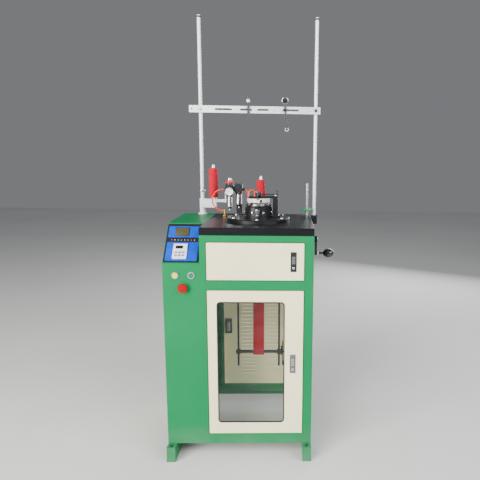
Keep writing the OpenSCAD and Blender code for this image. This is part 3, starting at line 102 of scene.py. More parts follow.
class Nodes:
    """Short names for building one material's node tree."""

    def __init__(self, name):
        self.mat = bpy.data.materials.new(name)
        self.mat.use_nodes = True
        self.tree = self.mat.node_tree
        self.place = self.new("ShaderNodeTexCoord").outputs

    def feed(self, node, inputs):
        """Feeds inputs of a node, each by its name or number, with an output or a plain value."""
        for key, value in inputs.items():
            if isinstance(value, bpy.types.NodeSocket):
                self.tree.links.new(value, node.inputs[key])
            else:
                node.inputs[key].default_value = value

    def new(self, kind, inputs=None, **settings):
        node = self.tree.nodes.new(kind)
        for key, value in settings.items():
            setattr(node, key, value)
        self.feed(node, inputs or {})
        return node

    def noise(self, scale, detail=3, roughness=0.55, stretch=None):
        """Noise over the piece; stretch gives the fineness along each axis."""
        where = self.place["Object"]
        if stretch:
            where = self.new("ShaderNodeMapping", {"Vector": where, "Scale": stretch}).outputs["Vector"]
        return self.new("ShaderNodeTexNoise", {"Vector": where, "Scale": scale, "Detail": detail,
                                               "Roughness": roughness}).outputs["Fac"]

    def axes(self, coords):
        """The outputs X, Y and Z of the coordinates of that kind."""
        return self.new("ShaderNodeSeparateXYZ", {"Vector": self.place[coords]}).outputs

    def ramp(self, value, *stops):
        """A blend of two colours over the value; a stop is a place and the colour there."""
        node = self.new("ShaderNodeValToRGB", {"Fac": value})
        for element, (place, colour) in zip(node.color_ramp.elements, stops):
            element.position, element.color = place, colour
        return node.outputs["Color"]

    def span(self, value, low, high, start=0.3, end=0.7):
        """The value's range from start to end, moved to the range from low to high."""
        return self.new("ShaderNodeMapRange", {"Value": value, "From Min": start, "From Max": end,
                                               "To Min": low, "To Max": high}).outputs["Result"]

    def math(self, how, *terms):
        return self.new("ShaderNodeMath", dict(enumerate(terms)), operation=how).outputs["Value"]

    def mix(self, factor, a, b):
        """Colour a turning into colour b; a mix node has its colours at inputs 6 and 7 and output 2."""
        return self.new("ShaderNodeMix", {"Factor": factor, 6: a, 7: b}, data_type="RGBA").outputs[2]

    def bump(self, height, distance, strength):
        return self.new("ShaderNodeBump", {"Height": height, "Distance": distance,
                                           "Strength": strength}).outputs["Normal"]

    def surface(self, colour, roughness, normal=None, **more):
        """Feeds the shader, more being its further inputs by name, and returns the material."""
        inputs = {"Base Color": colour, "Roughness": roughness}
        if normal:
            inputs["Normal"] = normal
        for key, value in more.items():
            inputs[key.replace("_", " ")] = value
        self.feed(self.tree.nodes["Principled BSDF"], inputs)
        return self.mat


DUST = (0.42, 0.41, 0.38, 1)


def paint(name, rgb, rough=0.42, dust_top=0.16, coat=0.12):
    """Sprayed enamel: orange peel, a slight change of tone, fine scratches, and dust up to dust_top."""
    n = Nodes(name)
    base = linear(rgb)
    body = n.ramp(n.noise(3.2, 4), (0.3, tone(base, 0.93)), (0.7, tone(base, 1.05)))
    body = n.mix(n.span(n.noise(60, 3), 0, 0.12, 0.55, 0.75), body, tone(base, 0.8))
    low = n.span(n.axes("Object")["Z"], 0.2, 0, 0, dust_top)
    dusty = n.math("MULTIPLY", low, n.span(n.noise(14, 5), 0.25, 1))
    scratch = n.noise(9, 5, 0.7, (1, 1, 14))
    return n.surface(n.mix(dusty, body, DUST), n.span(scratch, rough - 0.06, rough + 0.12, 0.35, 0.75),
                     n.bump(n.noise(420, 2, 0.4), 0.0001, 0.55),
                     Coat_Weight=coat, Coat_Roughness=0.2, Specular_IOR_Level=0.12)


def metal(name, rgb, rough=0.28, brushed=None, metallic=1.0, spread=0.1, pits=0.00004, wear=0.2):
    """Bare or plated metal: fine turning or brushing lines, smudges that change the gloss."""
    n = Nodes(name)
    base = linear(rgb)
    smudge = n.noise(22, 5, 0.6)
    lines = n.noise(260, 3, 0.6, brushed)
    gloss = n.math("ADD", n.span(smudge, rough - spread, rough + spread, 0.3, 0.72),
                   n.span(lines, -0.03, 0.05))
    return n.surface(n.ramp(smudge, (0.3, tone(base, 1 - wear)), (0.72, tone(base, 1 + wear * 0.3))),
                     gloss, n.bump(lines, pits, 0.5), Metallic=metallic)


def plastic(name, rgb, rough=0.38, grain=900, depth=0.00005, coat=0.0, specular=0.5):
    """Moulded plastic or rubber: fine erosion grain and handling marks in the gloss."""
    n = Nodes(name)
    base = linear(rgb)
    return n.surface(n.ramp(n.noise(35, 4), (0.3, tone(base, 0.86)), (0.7, tone(base, 1.1))),
                     n.span(n.noise(80, 4), rough - 0.07, rough + 0.07),
                     n.bump(n.noise(grain, 2), depth, 0.6),
                     Coat_Weight=coat, Coat_Roughness=0.08, Specular_IOR_Level=specular)


def gloss_black(name):
    """The polished black table: deep lacquer with hairline scratches and a little lint."""
    n = Nodes(name)
    lint = n.span(n.noise(500, 2, 0.5), 0, 0.3, 0.66, 0.8)
    lines = n.math("MULTIPLY", n.noise(30, 6, 0.75, (1, 9, 1)), n.noise(40, 6, 0.75, (8, 1, 1)))
    return n.surface(n.mix(lint, linear((20, 21, 24)), linear((72, 74, 78))),
                     n.span(lines, 0.26, 0.44, 0.12, 0.4),
                     n.bump(n.noise(240, 2), 0.00003, 0.4), Specular_IOR_Level=0.16)


def crinkle_black(name, rgb=(14, 15, 17), rough=0.42):
    """Cast parts in black oven enamel over a slightly rough casting."""
    n = Nodes(name)
    base = linear(rgb)
    cast = n.noise(180, 5, 0.6)
    return n.surface(n.ramp(n.noise(12, 4), (0.3, tone(base, 0.75)), (0.7, tone(base, 1.35))),
                     n.span(cast, rough - 0.1, rough + 0.14), n.bump(cast, 0.0002, 0.5),
                     Coat_Weight=0.2, Coat_Roughness=0.15, Specular_IOR_Level=0.35)


def clear_sheet(name):
    """A clear plastic pane with a trace of dust and wiping marks."""
    n = Nodes(name)
    wipe = n.noise(7, 5, 0.7, (1, 1, 3))
    return n.surface(n.ramp(wipe, (0.3, (0.3, 0.34, 0.35, 1)), (0.75, (0.5, 0.52, 0.52, 1))),
                     n.span(n.noise(50, 4), 0.02, 0.06), Alpha=n.span(wipe, 0.012, 0.03), IOR=1.49)


def knit(name, wales, courses):
    """Plain knitting seen by its map: columns of V stitches, with a little fuzz and painted shade between the
    stitch legs.
    """
    n = Nodes(name)
    place = n.axes("UV")
    u = n.math("MULTIPLY", place["X"], wales)
    v = n.math("MULTIPLY", place["Y"], courses)
    across = n.math("ABSOLUTE", n.math("SUBTRACT", n.math("FRACT", u), 0.5))
    lean = n.math("SUBTRACT", v, n.math("MULTIPLY", across, 1.5))
    leg, wale = [n.math("SINE", n.math("MULTIPLY", wave, 2 * PI)) for wave in (lean, across)]
    stitch = n.math("MULTIPLY", n.span(leg, 0.25, 1, -1, 1), wale)
    fuzz = n.noise(900, 3)
    yarn = n.mix(n.span(n.noise(18, 4), 0, 0.45), linear((208, 6, 36)), linear((176, 4, 28)))
    # The gaps between the stitch legs are painted dark red: painted shade, not a colour of the yarn
    return n.surface(n.mix(n.span(stitch, 0.6, 0, 0, 1), yarn, linear((120, 3, 16))),
                     n.span(fuzz, 0.72, 0.92),
                     n.bump(n.math("ADD", stitch, n.math("MULTIPLY", fuzz, 0.25)), 0.0009, 0.9),
                     Sheen_Weight=0.08, Sheen_Roughness=0.5, Specular_IOR_Level=0.2)


def wound_yarn(name):
    """Cross-wound yarn: two sets of fine threads that lean against each other, with painted shade in the
    grooves between them.
    """
    n = Nodes(name)
    place = n.axes("UV")
    turns = n.math("MULTIPLY", place["X"], 7)
    rise = n.math("MULTIPLY", place["Y"], 92)
    waves = [n.math("SINE", n.math("MULTIPLY", n.math(how, rise, turns), 2 * PI))
             for how in ("ADD", "SUBTRACT")]
    thread = n.math("MAXIMUM", *waves)
    fuzz = n.noise(1400, 3)
    yarn = n.mix(n.span(n.noise(26, 4), 0, 0.4), linear((222, 8, 50)), linear((206, 10, 44)))
    # The grooves between the threads are painted dark red: painted shade, not a colour of the yarn
    return n.surface(n.mix(n.span(thread, 0.6, 0, -0.2, 1), yarn, linear((120, 4, 14))),
                     n.span(fuzz, 0.6, 0.85),
                     n.bump(n.math("ADD", thread, n.math("MULTIPLY", fuzz, 0.4)), 0.0005, 0.8),
                     Sheen_Weight=0.08, Sheen_Roughness=0.45, Specular_IOR_Level=0.2)


# The part's own material slots
finishes = {
    "green_paint": paint("green_enamel", (0, 122, 70), coat=0.02),
    "cream_paint": paint("cream_enamel", (255, 243, 198), coat=0.1, dust_top=0.3),
    "table_black": gloss_black("black_lacquer"),
    "panel_black": plastic("panel_film", (24, 25, 29), 0.3, 1500, coat=0.3),
    "keypad_white": plastic("keypad_shell", (240, 243, 248), 0.4),
    "satin_metal": metal("satin_chrome", (196, 198, 202), 0.3),
    "yellow_plastic": plastic("yellow_cap", (236, 224, 36), 0.34, specular=0.3),
    "green_plastic": plastic("green_cap", (0, 122, 76), 0.34, specular=0.3),
    "red_plastic": plastic("red_cap", (150, 2, 6), 0.36, specular=0.18),
    "latch_black": plastic("latch_enamel", (24, 25, 27), 0.42),
    "latch_grey": metal("latch_zinc", (120, 122, 124), 0.4, metallic=0.6),
    "clear_pane": clear_sheet("clear_sheet"),
    "zinc_plate": metal("zinc", (190, 192, 190), 0.42, spread=0.14),
    "drive_plastic": plastic("drive_case", (60, 63, 68), 0.5),
    "head_black": crinkle_black("head_enamel"),
    "bearing_steel": metal("ground_steel", (196, 197, 200), 0.22, (1, 1, 12)),
    "ring_white": plastic("ring_enamel", (236, 236, 232), 0.3, coat=0.3),
    "machined_steel": metal("turned_steel", (200, 201, 204), 0.24, (1, 1, 18)),
    "needle_steel": metal("needle_steel", (205, 206, 210), 0.18),
    "gear_steel": metal("gear_steel", (168, 168, 166), 0.34, (1, 1, 10)),
    "dark_steel": metal("blackened_steel", (52, 53, 56), 0.42, metallic=0.85),
    "red_knit": knit("red_knit", NEEDLES, 280),
    "cast_grey": metal("bearing_cast", (186, 187, 190), 0.36, metallic=0.9),
    "knob_black": plastic("knob_bakelite", (20, 20, 22), 0.22, 700, coat=0.6),
    "motor_black": crinkle_black("motor_enamel", (34, 36, 40), 0.5),
    "post_chrome": metal("post_chrome", (246, 247, 249), 0.38, metallic=0.3, spread=0.01, pits=0,
                         wear=0.03),
    "post_white": paint("post_enamel", (226, 228, 228), rough=0.3, dust_top=0.001),
    "bar_aluminium": metal("bar_aluminium", (242, 243, 245), 0.38, (0.06, 1, 1), metallic=0.35,
                           spread=0.02, pits=0.00001, wear=0.05),
    "guide_steel": metal("guide_steel", (74, 76, 80), 0.34),
    "peg_steel": metal("peg_steel", (206, 208, 211), 0.36, (1, 1, 0.2), metallic=0.8, spread=0.03,
                       wear=0.06),
    "red_yarn": wound_yarn("red_yarn"),
    "air_black": crinkle_black("air_block", (30, 31, 34), 0.36),
    "bowl_metal": metal("bowl_metal", (222, 224, 228), 0.2),
    "gauge_white": metal("gauge_case", (190, 192, 196), 0.22),
    "knob_red": plastic("knob_red", (216, 16, 22), 0.32, coat=0.2),
    "tube_orange": plastic("tube_orange", (240, 52, 22), 0.28, coat=0.3),
    "fitting_brass": metal("fitting_brass", (205, 168, 98), 0.26),
}

# Finishes of added pieces only
chrome = metal("screw_chrome", (210, 212, 215), 0.18, spread=0.06)
rubber = plastic("gasket_rubber", (22, 22, 23), 0.62, 600)
dark_glass = plastic("display_glass", (14, 17, 20), 0.12, 200, 0.00001, coat=0.8)
lcd_glass = plastic("lcd_glass", (76, 72, 44), 0.34, 200, 0.00001, specular=0.3)
field_blue = plastic("field_blue", (0, 72, 196), 0.42, 1500, specular=0.06)
key_grey = plastic("key_rubber", (128, 134, 140), 0.5, 800)
disc_green = plastic("disc_green", (10, 160, 92), 0.4)
dial_white = plastic("dial_card", (238, 238, 234), 0.45)
ink_black = plastic("ink_black", (18, 18, 20), 0.5)
housing_grey = plastic("housing_grey", (66, 69, 72), 0.5)
terminal_grey = plastic("terminal_grey", (176, 178, 168), 0.5, 700)
duct_grey = plastic("duct_grey", (150, 156, 160), 0.55, 500)
ceramic = plastic("ceramic", (240, 238, 232), 0.14, 300, 0.00001, coat=0.6)
lamp_colours = [plastic("lamp_" + word, rgb, 0.2, coat=0.7) for word, rgb in (
    ("red", (214, 52, 48)), ("amber", (226, 150, 40)), ("green", (70, 180, 90)))]

for part in frame["record"]["subparts"]:
    node = frame["nodes"][part["node"]]
    node.data.materials.clear()
    node.data.materials.append(finishes[part["material_slot"]])


# Worked edges: small radii, as folding, milling or casting leaves them, by their width

ROUNDED = {
    0.9: ("front_frame", "left_frame", "right_frame", "rear_frame", "front_upper_door",
          "front_lower_door", "right_door"),
    1.2: ("console_cover", "table_top", "skids", "drive_motor", "inverter_drive", "shaft_bearings"),
    0.6: ("control_panel", "keypad", "front_upper_latch", "front_lower_latch", "dial_bracket", "air_unit",
          "post_foot", "post_bracket", "crossbar", "crossbar_clamps", "crank_arm", "takedown_frame",
          "pawl_lever", "motor_bracket"),
}
for width, names in ROUNDED.items():
    for name in names:
        node = frame["nodes"][name]
        weld = node.modifiers.new("weld", "WELD")
        weld.merge_threshold = 0.00001
        bevel = node.modifiers.new("edges", "BEVEL")
        bevel.width = width * MM
        bevel.segments = 2
        bevel.limit_method = "ANGLE"
        bevel.angle_limit = math.radians(40)
        bevel.use_clamp_overlap = True
        bevel.harden_normals = True


# Mesh helpers

def at(x, y, z):
    """A place in the machine's frame."""
    return Matrix.Translation((x * MM, y * MM, z * MM))


def turn(degrees, axis):
    return Matrix.Rotation(math.radians(degrees), 4, axis)


def at_head(x=0, y=0, z=0):
    return at(HEAD[0] + x, HEAD[1] + y, z)


FACE_FRONT = turn(90, "X")   # z becomes -y: the piece's face looks at the front
FACE_RIGHT = turn(90, "Y")   # z becomes +x
FACE_LEFT = turn(-90, "Y")   # z becomes -x

# Each side of the cabinet from its lower left corner, as seen from outside
SIDES = {
    "front": at(LEFT_X, FRONT_Y, 0),
    "right": at(RIGHT_X, FRONT_Y, 0) @ turn(90, "Z"),
    "rear": at(RIGHT_X, REAR_Y, 0) @ turn(180, "Z"),
    "left": at(LEFT_X, REAR_Y, 0) @ turn(-90, "Z"),
}


def new_object(name, data, material):
    obj = bpy.data.objects.new(name, data)
    bpy.context.scene.collection.objects.link(obj)
    data.materials.append(material)
    return obj


def finish_mesh(name, bm, slot, material=None, body="machine", sharp=38):
    """Makes bm a piece of that body, in the slot's own finish where no material is given."""
    bmesh.ops.recalc_face_normals(bm, faces=bm.faces)
    mesh = bpy.data.meshes.new(name)
    bm.to_mesh(mesh)
    bm.free()
    for polygon in mesh.polygons:
        polygon.use_smooth = True
    mesh.set_sharp_from_angle(angle=math.radians(sharp))
    obj = new_object(name, mesh, material or finishes[slot])
    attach(obj, body)
    return obj


def mapped_skin(bm, rings, heights):
    """Faces between rings with as many vertices each, mapped once round and by each ring's height."""
    uv = bm.loops.layers.uv.new("map")
    count = len(rings[0])
    for i, (a, b) in enumerate(zip(rings, rings[1:])):
        for k in range(count):
            j = (k + 1) % count
            face = bm.faces.new((a[k], a[j], b[j], b[k]))
            for loop, (col, row) in zip(face.loops, ((k, i), (k + 1, i), (k + 1, i + 1), (k, i + 1))):
                loop[uv].uv = (col / count, heights[row])


def revolve(bm, rows, segments, matrix, tube=False):
    """A closed turned solid. Each row is (radius, z); a radius may be a function of the angle.
    With tube, the last row joins the first, so the solid is open along its axis."""
    rings = []
    for radius, z in rows:
        if radius == 0:
            rings.append([bm.verts.new(matrix @ Vector((0, 0, z * MM)))])
            continue
        ring = []
        for k in range(segments):
            a = 2 * PI * k / segments
            r = (radius(a) if callable(radius) else radius) * MM
            ring.append(bm.verts.new(matrix @ Vector((r * math.cos(a), r * math.sin(a), z * MM))))
        rings.append(ring)
    for low, high in zip(rings, rings[1:] + (rings[:1] if tube else [])):
        for k in range(segments):
            a, b = low[k % len(low)], low[(k + 1) % len(low)]
            c, d = high[(k + 1) % len(high)], high[k % len(high)]
            corners = [v for i, v in enumerate((a, b, c, d)) if v not in (a, b, c, d)[:i]]
            if len(corners) > 2:
                bm.faces.new(corners)
    for ring in () if tube else (rings[0], rings[-1]):
        if len(ring) > 1:
            bm.faces.new(ring)


def turned(name, rows, segments, matrix, slot, material=None, body="machine", tube=False):
    """A piece that is one turned solid."""
    bm = bmesh.new()
    revolve(bm, rows, segments, matrix, tube)
    finish_mesh(name, bm, slot, material, body)


def hexagon(across):
    """The radius of a hexagon of that width across flats, as a function of the angle."""
    def radius(a):
        return across / 2 / math.cos((a % (PI / 3)) - PI / 6)
    return radius


def socket_screw(bm, matrix, r, h):
    """The head of a hex socket screw, standing on z = 0."""
    revolve(bm, [(0, 0), (r, 0), (r, h * 0.8), (r * 0.97, h * 0.92), (r * 0.88, h),
                 (hexagon(r * 1.15), h), (hexagon(r * 1.1), h - 0.25), (hexagon(r * 1.05), h * 0.45),
                 (0, h * 0.35)], 24, matrix)


def hex_nut(bm, matrix, across, h, stud=0):
    """A nut on z = 0 with a chamfered top; stud is the radius of the end that comes out of it."""
    flat = hexagon(across)
    revolve(bm, [(0, 0), (flat, 0), (flat, h * 0.82), (across * 0.5, h)]
            + ([(stud + 0.6, h), (stud, h - 0.6), (stud, h + 1.4), (stud - 0.5, h + 2)] if stud else [])
            + [(0, h + (2 if stud else 0))], 24, matrix)


def bevelled_box(bm, lo, hi, bevel, matrix, segments=2):
    corners = bmesh.ops.create_cube(bm, size=1)["verts"]
    for v in corners:
        v.co = matrix @ Vector([(a + (b - a) * (c + 0.5)) * MM for a, b, c in zip(lo, hi, v.co)])
    edges = list({e for v in corners for e in v.link_edges})
    if bevel:
        bmesh.ops.bevel(bm, geom=edges, offset=bevel * MM, segments=segments, profile=0.6,
                        affect="EDGES", clamp_overlap=True)


def boxed(name, lo, hi, bevel, matrix, slot, material=None):
    """A piece that is one bevelled box."""
    bm = bmesh.new()
    bevelled_box(bm, lo, hi, bevel, matrix)
    finish_mesh(name, bm, slot, material)


def rounded_outline(w, h, r, corner=(0, 0), steps=6):
    """Points round a rectangle with rounded corners, from the place of its lower left corner."""
    points = []
    for cx, cy, start in ((w - r, r, -90), (w - r, h - r, 0), (r, h - r, 90), (r, r, 180)):
        for k in range(steps + 1):
            a = math.radians(start + 90 * k / steps)
            points.append((cx + r * math.cos(a) + corner[0], cy + r * math.sin(a) + corner[1]))
    return points


def slab(bm, outline, z0, z1, matrix, hole=None):
    """A flat plate between z0 and z1; hole is a second outline with as many points."""
    def ring(points, z):
        return [bm.verts.new(matrix @ Vector((x * MM, y * MM, z * MM))) for x, y in points]

    low, high = ring(outline, z0), ring(outline, z1)
    count = len(outline)
    if hole:
        hole_low, hole_high = ring(hole, z0), ring(hole, z1)
    for k in range(count):
        j = (k + 1) % count
        bm.faces.new((low[k], low[j], high[j], high[k]))
        if hole:
            bm.faces.new((hole_low[j], hole_low[k], hole_high[k], hole_high[j]))
            bm.faces.new((high[k], high[j], hole_high[j], hole_high[k]))
            bm.faces.new((low[j], low[k], hole_low[k], hole_low[j]))
    if not hole:
        bm.faces.new(high)
        bm.faces.new(list(reversed(low)))


def sweep(bm, points, r, segments=12):
    """A round bar of radius r with flat ends; its points are in metres."""
    rings, side = [], None
    for k, p in enumerate(points):
        along = (points[min(k + 1, len(points) - 1)] - points[max(k - 1, 0)]).normalized()
        if side is None:
            side = along.orthogonal().normalized()
        side = (side - along * side.dot(along)).normalized()
        other = along.cross(side)
        rings.append([bm.verts.new(p + r * MM * (math.cos(2 * PI * j / segments) * side
                                                 + math.sin(2 * PI * j / segments) * other))
                      for j in range(segments)])
    for a, b in zip(rings, rings[1:]):
        for j in range(segments):
            i = (j + 1) % segments
            bm.faces.new((a[j], a[i], b[i], b[j]))
    bm.faces.new(list(reversed(rings[0])))
    bm.faces.new(rings[-1])


# Knitted tube: flared at the needles, round down to GATHER_Z, flat from FLAT_Z to below the roller

TUBE_W, TUBE_WALL = 51, 0.9
NECK_R, RIM_R, CROWN_R = 27.6, 35.0, 39.6
RIB = 0.35
FLARE_LOW, FLARE_H = 70, 56
GATHER_Z, FLAT_Z, FLAT_Y = 854.3, 654.3, -8.8
TUBE_LOW_Z = ROLLER_Z - 12
TUBE_TOP_Z = CYL_TOP_Z + 1
TUBE_COUNT, TUBE_STEP = 192, 4.8


def ease(t):
    """From 0 to 1 with a soft start and end."""
    t = min(1, max(0, t))
    return t * t * (3 - 2 * t)


def tube_section(z, inset):
    """The tube's outline at height z, inset from its outer face, as points round the head's axis."""
    flat = ease((GATHER_Z - z) / (GATHER_Z - FLAT_Z))
    radius = NECK_R + (RIM_R - NECK_R) * ease((z - CYL_TOP_Z + FLARE_LOW) / FLARE_H)
    half_w = TUBE_W / 2 - 0.3 - inset
    half_t = 1.15 - inset * 0.75
    points = []
    for k in range(TUBE_COUNT):
        a = 2 * PI * k / TUBE_COUNT
        c, s = math.cos(a), math.sin(a)
        rib = RIB * math.cos(NEEDLES * a)
        round_r = radius - inset + rib
        flat_x = half_w * math.copysign(abs(c) ** 0.9, c)
        flat_y = FLAT_Y + (half_t + 0.2 * rib) * math.copysign(abs(s) ** 0.55, s)
        points.append((round_r * c * (1 - flat) + flat_x * flat, round_r * s * (1 - flat) + flat_y * flat))
    return points


def knitted_tube():
    bm = bmesh.new()
    levels = [TUBE_LOW_Z]
    while levels[-1] < CYL_TOP_Z:
        levels.append(min(CYL_TOP_Z, levels[-1] + TUBE_STEP))
    outer, inner = [], []
    for z in levels:
        for rings, inset in ((outer, 0), (inner, TUBE_WALL)):
            rings.append([bm.verts.new(at_head(x, y, z) @ Vector()) for x, y in tube_section(z, inset)])
    # The last course lies over the needles' heads as a crown of loops
    crown = []
    for k in range(TUBE_COUNT):
        a = 2 * PI * k / TUBE_COUNT
        loop = math.cos(NEEDLES * a)
        reach = CROWN_R + 1.2 * loop
        crown.append(bm.verts.new(at_head(reach * math.cos(a), reach * math.sin(a),
                                          CYL_TOP_Z + 0.8 + 0.3 * loop) @ Vector()))
    heights = levels + [TUBE_TOP_Z] + levels[::-1]
    mapped_skin(bm, inner + [crown] + outer[::-1],
                [(z - TUBE_LOW_Z) / (TUBE_TOP_Z - TUBE_LOW_Z) for z in heights])
    # The cut edge at the lower end has no stitches
    for k in range(TUBE_COUNT):
        j = (k + 1) % TUBE_COUNT
        bm.faces.new((outer[0][k], outer[0][j], inner[0][j], inner[0][k]))
    tube = finish_mesh("knitted_fabric", bm, "red_knit", body="cylinder", sharp=180)
    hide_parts("knitted_tube")
    return tube


fabric = knitted_tube()


# Yarn packages

PACKAGE_COUNT, PACKAGE_STEP = 120, 1.6
WIND, WIND_PITCH = 0.22, 0.55


def yarn_package(name, x, y, z):
    """A cross-wound package: the yarn lies in crossing ridges, fuller low down, with a rounded shoulder."""
    profile = [(5.6, 0.4), (12, 0.2), (18, 0.6), (20.4, 2.6), (21.4, 6)]
    profile += [(21.6 - 1.3 * (k / 22) ** 2, 6 + 116 * k / 22) for k in range(1, 23)]
    profile += [(20.3 * math.cos(math.radians(15 * k)) + 0.6, 122 + 17 * math.sin(math.radians(22.5 * k)))
                for k in range(1, 5)]
    profile += [(7.4, 139.6), (5.6, 139.2)]
    rows = []
    for (r0, z0), (r1, z1) in zip(profile, profile[1:]):
        steps = max(1, int(math.hypot(r1 - r0, z1 - z0) / PACKAGE_STEP))
        rows += [(r0 + (r1 - r0) * k / steps, z0 + (z1 - z0) * k / steps) for k in range(steps)]
    rows.append(profile[-1])
    bm = bmesh.new()
    rings = []
    for r, h in rows:
        ring = []
        for k in range(PACKAGE_COUNT):
            a = 2 * PI * k / PACKAGE_COUNT
            wind = max(math.sin(h * WIND_PITCH + 4 * a), math.sin(h * WIND_PITCH - 4 * a))
            reach = r + (WIND * wind if r > 16 else 0)
            ring.append(bm.verts.new(at(x + reach * math.cos(a), y + reach * math.sin(a), z + h) @ Vector()))
        rings.append(ring)
    mapped_skin(bm, rings + rings[:1], [row / len(rows) for row in range(len(rows) + 1)])
    return finish_mesh(name, bm, "red_yarn", sharp=60)


wound = [yarn_package("yarn_package_%d" % (k + 1), *place) for k, place in enumerate(PACKAGES)]
for package in wound:
    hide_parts("yarn_packages")

bm = bmesh.new()
for place in PACKAGES:
    revolve(bm, [(0, 138.5), (7.9, 138.5), (8, 141), (7.4, 142), (7, 150), (6, 154), (4.5, 156), (0, 156.5)],
            32, at(*place))
finish_mesh("bobbin_tips", bm, "peg_steel", chrome)


# Air tubes as hoses

HOSE_D, ELBOW = 6, 10
HOSE_Z, OIL_Z = BLOCK_Z + 12, TABLE_Z + 50
LOOP_X, LOOP_R = -108, 50
ARCH_ANGLE, ARCH_OUT, ARCH_Z, ARCH_R = -148, 33, TABLE_Z + 120, 15


def arc(centre, radius, start, angle, steps):
    """Points on an arc about centre, as (distance, height) pairs."""
    out = []
    for k in range(steps + 1):
        a = math.radians(start + angle * k / steps)
        out.append((centre[0] + radius * math.cos(a), centre[1] + radius * math.sin(a)))
    return out


def hose(name, where, route):
    """A hose along route, (distance, height) pairs in the upright plane through where's x axis."""
    points = [where @ Vector((d * MM, 0, h * MM)) for d, h in route]
    curve = bpy.data.curves.new(name, "CURVE")
    curve.dimensions = "3D"
    curve.bevel_depth = HOSE_D / 2 * MM
    curve.bevel_resolution = 4
    curve.use_fill_caps = True
    spline = curve.splines.new("POLY")
    spline.points.add(len(points) - 1)
    for point, place in zip(spline.points, points):
        point.co = (*place, 1)
    spline.use_smooth = True
    obj = new_object(name, curve, finishes["tube_orange"])
    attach(obj, "machine")
    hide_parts("air_tubes")


hose("air_loop", at(0, AIR_Y, 0), [(LOOP_X + 6, HOSE_Z), (LOOP_X + 3, HOSE_Z)]
     + arc((LOOP_X, HOSE_Z - LOOP_R), LOOP_R, 90, 180, 30))

# The oil line leaves the oiler towards the drum, falls in two quarter circles and runs level into it
oil_r = (HOSE_Z - OIL_Z) / 2
oil_x = OILER_X + 25
oil_angle = math.degrees(math.atan2(HEAD[1] - AIR_Y, HEAD[0] - oil_x))
oil_run = math.hypot(HEAD[0] - oil_x, HEAD[1] - AIR_Y) - DRUM_R - ELBOW
hose("oil_line", at(oil_x, AIR_Y, 0) @ turn(oil_angle, "Z") @ at(ELBOW, 0, 0),
     arc((0, HOSE_Z - oil_r), oil_r, 90, -90, 12)[:-1]
     + arc((2 * oil_r, OIL_Z + oil_r), oil_r, 180, 90, 12)
     + [(2 * oil_r + (oil_run - 2 * oil_r) * k / 3, OIL_Z) for k in (1, 2, 3)])
hose("feed_arch", at_head() @ turn(ARCH_ANGLE, "Z"),
     [(ARCH_OUT + ARCH_R, ARCH_Z - below) for below in (15, 10, 5)]
     + arc((ARCH_OUT, ARCH_Z), ARCH_R, 0, 180, 20)
     + [(ARCH_OUT - ARCH_R, ARCH_Z - below) for below in (5, 10, 15)])


# Console, in the plane of its sloped cover: u to the right, s up the slope

def on_slope(u, s):
    return at(LEFT_X, FRONT_Y, CONSOLE_Z) @ turn(SLOPE_DEG, "X") @ at(u, s, 0)


SLOPE = on_slope(0, 0)
FIELD_U, FIELD_W, FIELD_R, FIELD_TOP = 9, 128, 4, PANEL_T + 0.35
LCD_WINDOW = rounded_outline(59, 42, 2, (28, 7))
MARK_U, MARK_S, MARK_STEP_U, MARK_STEP_S, MARK_T = 41, 137, 5.4, 10.5, 0.8
LAMP_COUNT, LAMP_U, LAMP_S, LAMP_STEP = 8, 26.6, 110, 13.3
KEY_US, KEY_SS = (47, 62, 77), (29, 43)
KEY_W, KEY_L, KEY_OVER = 9, 8, 0.4
PANEL_SCREW_US, PANEL_SCREW_SS = (9, 137), (10, 184)

bm = bmesh.new()
for s, length, window in ((122, 54, LCD_WINDOW), (12, 88, None)):
    slab(bm, rounded_outline(FIELD_W, length, FIELD_R), PANEL_T, FIELD_TOP, on_slope(FIELD_U, s), window)
finish_mesh("panel_fields", bm, "panel_black", field_blue)

boxed("lcd_pane", (37.2, 131.2, 1.9), (91.8, 168.8, 2.9), 0.25, SLOPE, "panel_black", lcd_glass)

bm = bmesh.new()
for row in range(3):
    for k in range(9):
        u, s = MARK_U + k * MARK_STEP_U, MARK_S + row * MARK_STEP_S
        mark_w = 3.4 if (k + row) % 3 else 2.2
        bevelled_box(bm, (u, s, 2.8), (u + mark_w, s + MARK_T, 3.0), 0, SLOPE)
finish_mesh("lcd_marks", bm, "panel_black", ink_black)

for first, colour in enumerate(lamp_colours):
    bm = bmesh.new()
    for k in range(first, LAMP_COUNT, len(lamp_colours)):
        revolve(bm, [(0, 2), (2.8, 2), (2.8, 3.3), (2.4, 4.1), (1.5, 4.7), (0, 5)], 24,
                on_slope(LAMP_U + k * LAMP_STEP, LAMP_S))
    finish_mesh("lamps_%d" % (first + 1), bm, "panel_black", colour)

bm = bmesh.new()
for u in KEY_US:
    for s in KEY_SS:
        bevelled_box(bm, (u - KEY_OVER, s - KEY_OVER, 10), (u + KEY_W + KEY_OVER, s + KEY_L + KEY_OVER, 12.4),
                     1.1, SLOPE, 3)
finish_mesh("keypad_keys", bm, "keypad_white", key_grey)

boxed("keypad_display", (48.2, 65.2, 8.2), (77.8, 79.8, 9.6), 0.3, SLOPE, "keypad_white", dark_glass)

bm = bmesh.new()
for u in PANEL_SCREW_US:
    for s in PANEL_SCREW_SS:
        revolve(bm, [(0, 3), (3.2, 3), (3.2, 3.6), (2.4, 4.6), (1.2, 5), (0, 5)], 20, on_slope(u, s))
finish_mesh("panel_screws", bm, "dark_steel")


# Latches, each drawn from the middle of its face, with z up and y into the door

LATCHES = {"upper_latch": "upper_door", "lower_latch": "lower_door", "side_door": "side_door",
           "back_door": "back_door", "console_lower_door": "console_lower_door",
           "console_upper_door": "console_upper_door"}
LOCK_Z, NUT_Z = -25, -16
GRIP_HALF_W, GRIP_H = 7.2, 9.5


def latch_piece(body, word, bm, slot, material=None):
    finish_mesh("%s_%s" % (body, word), bm, slot, material, body)


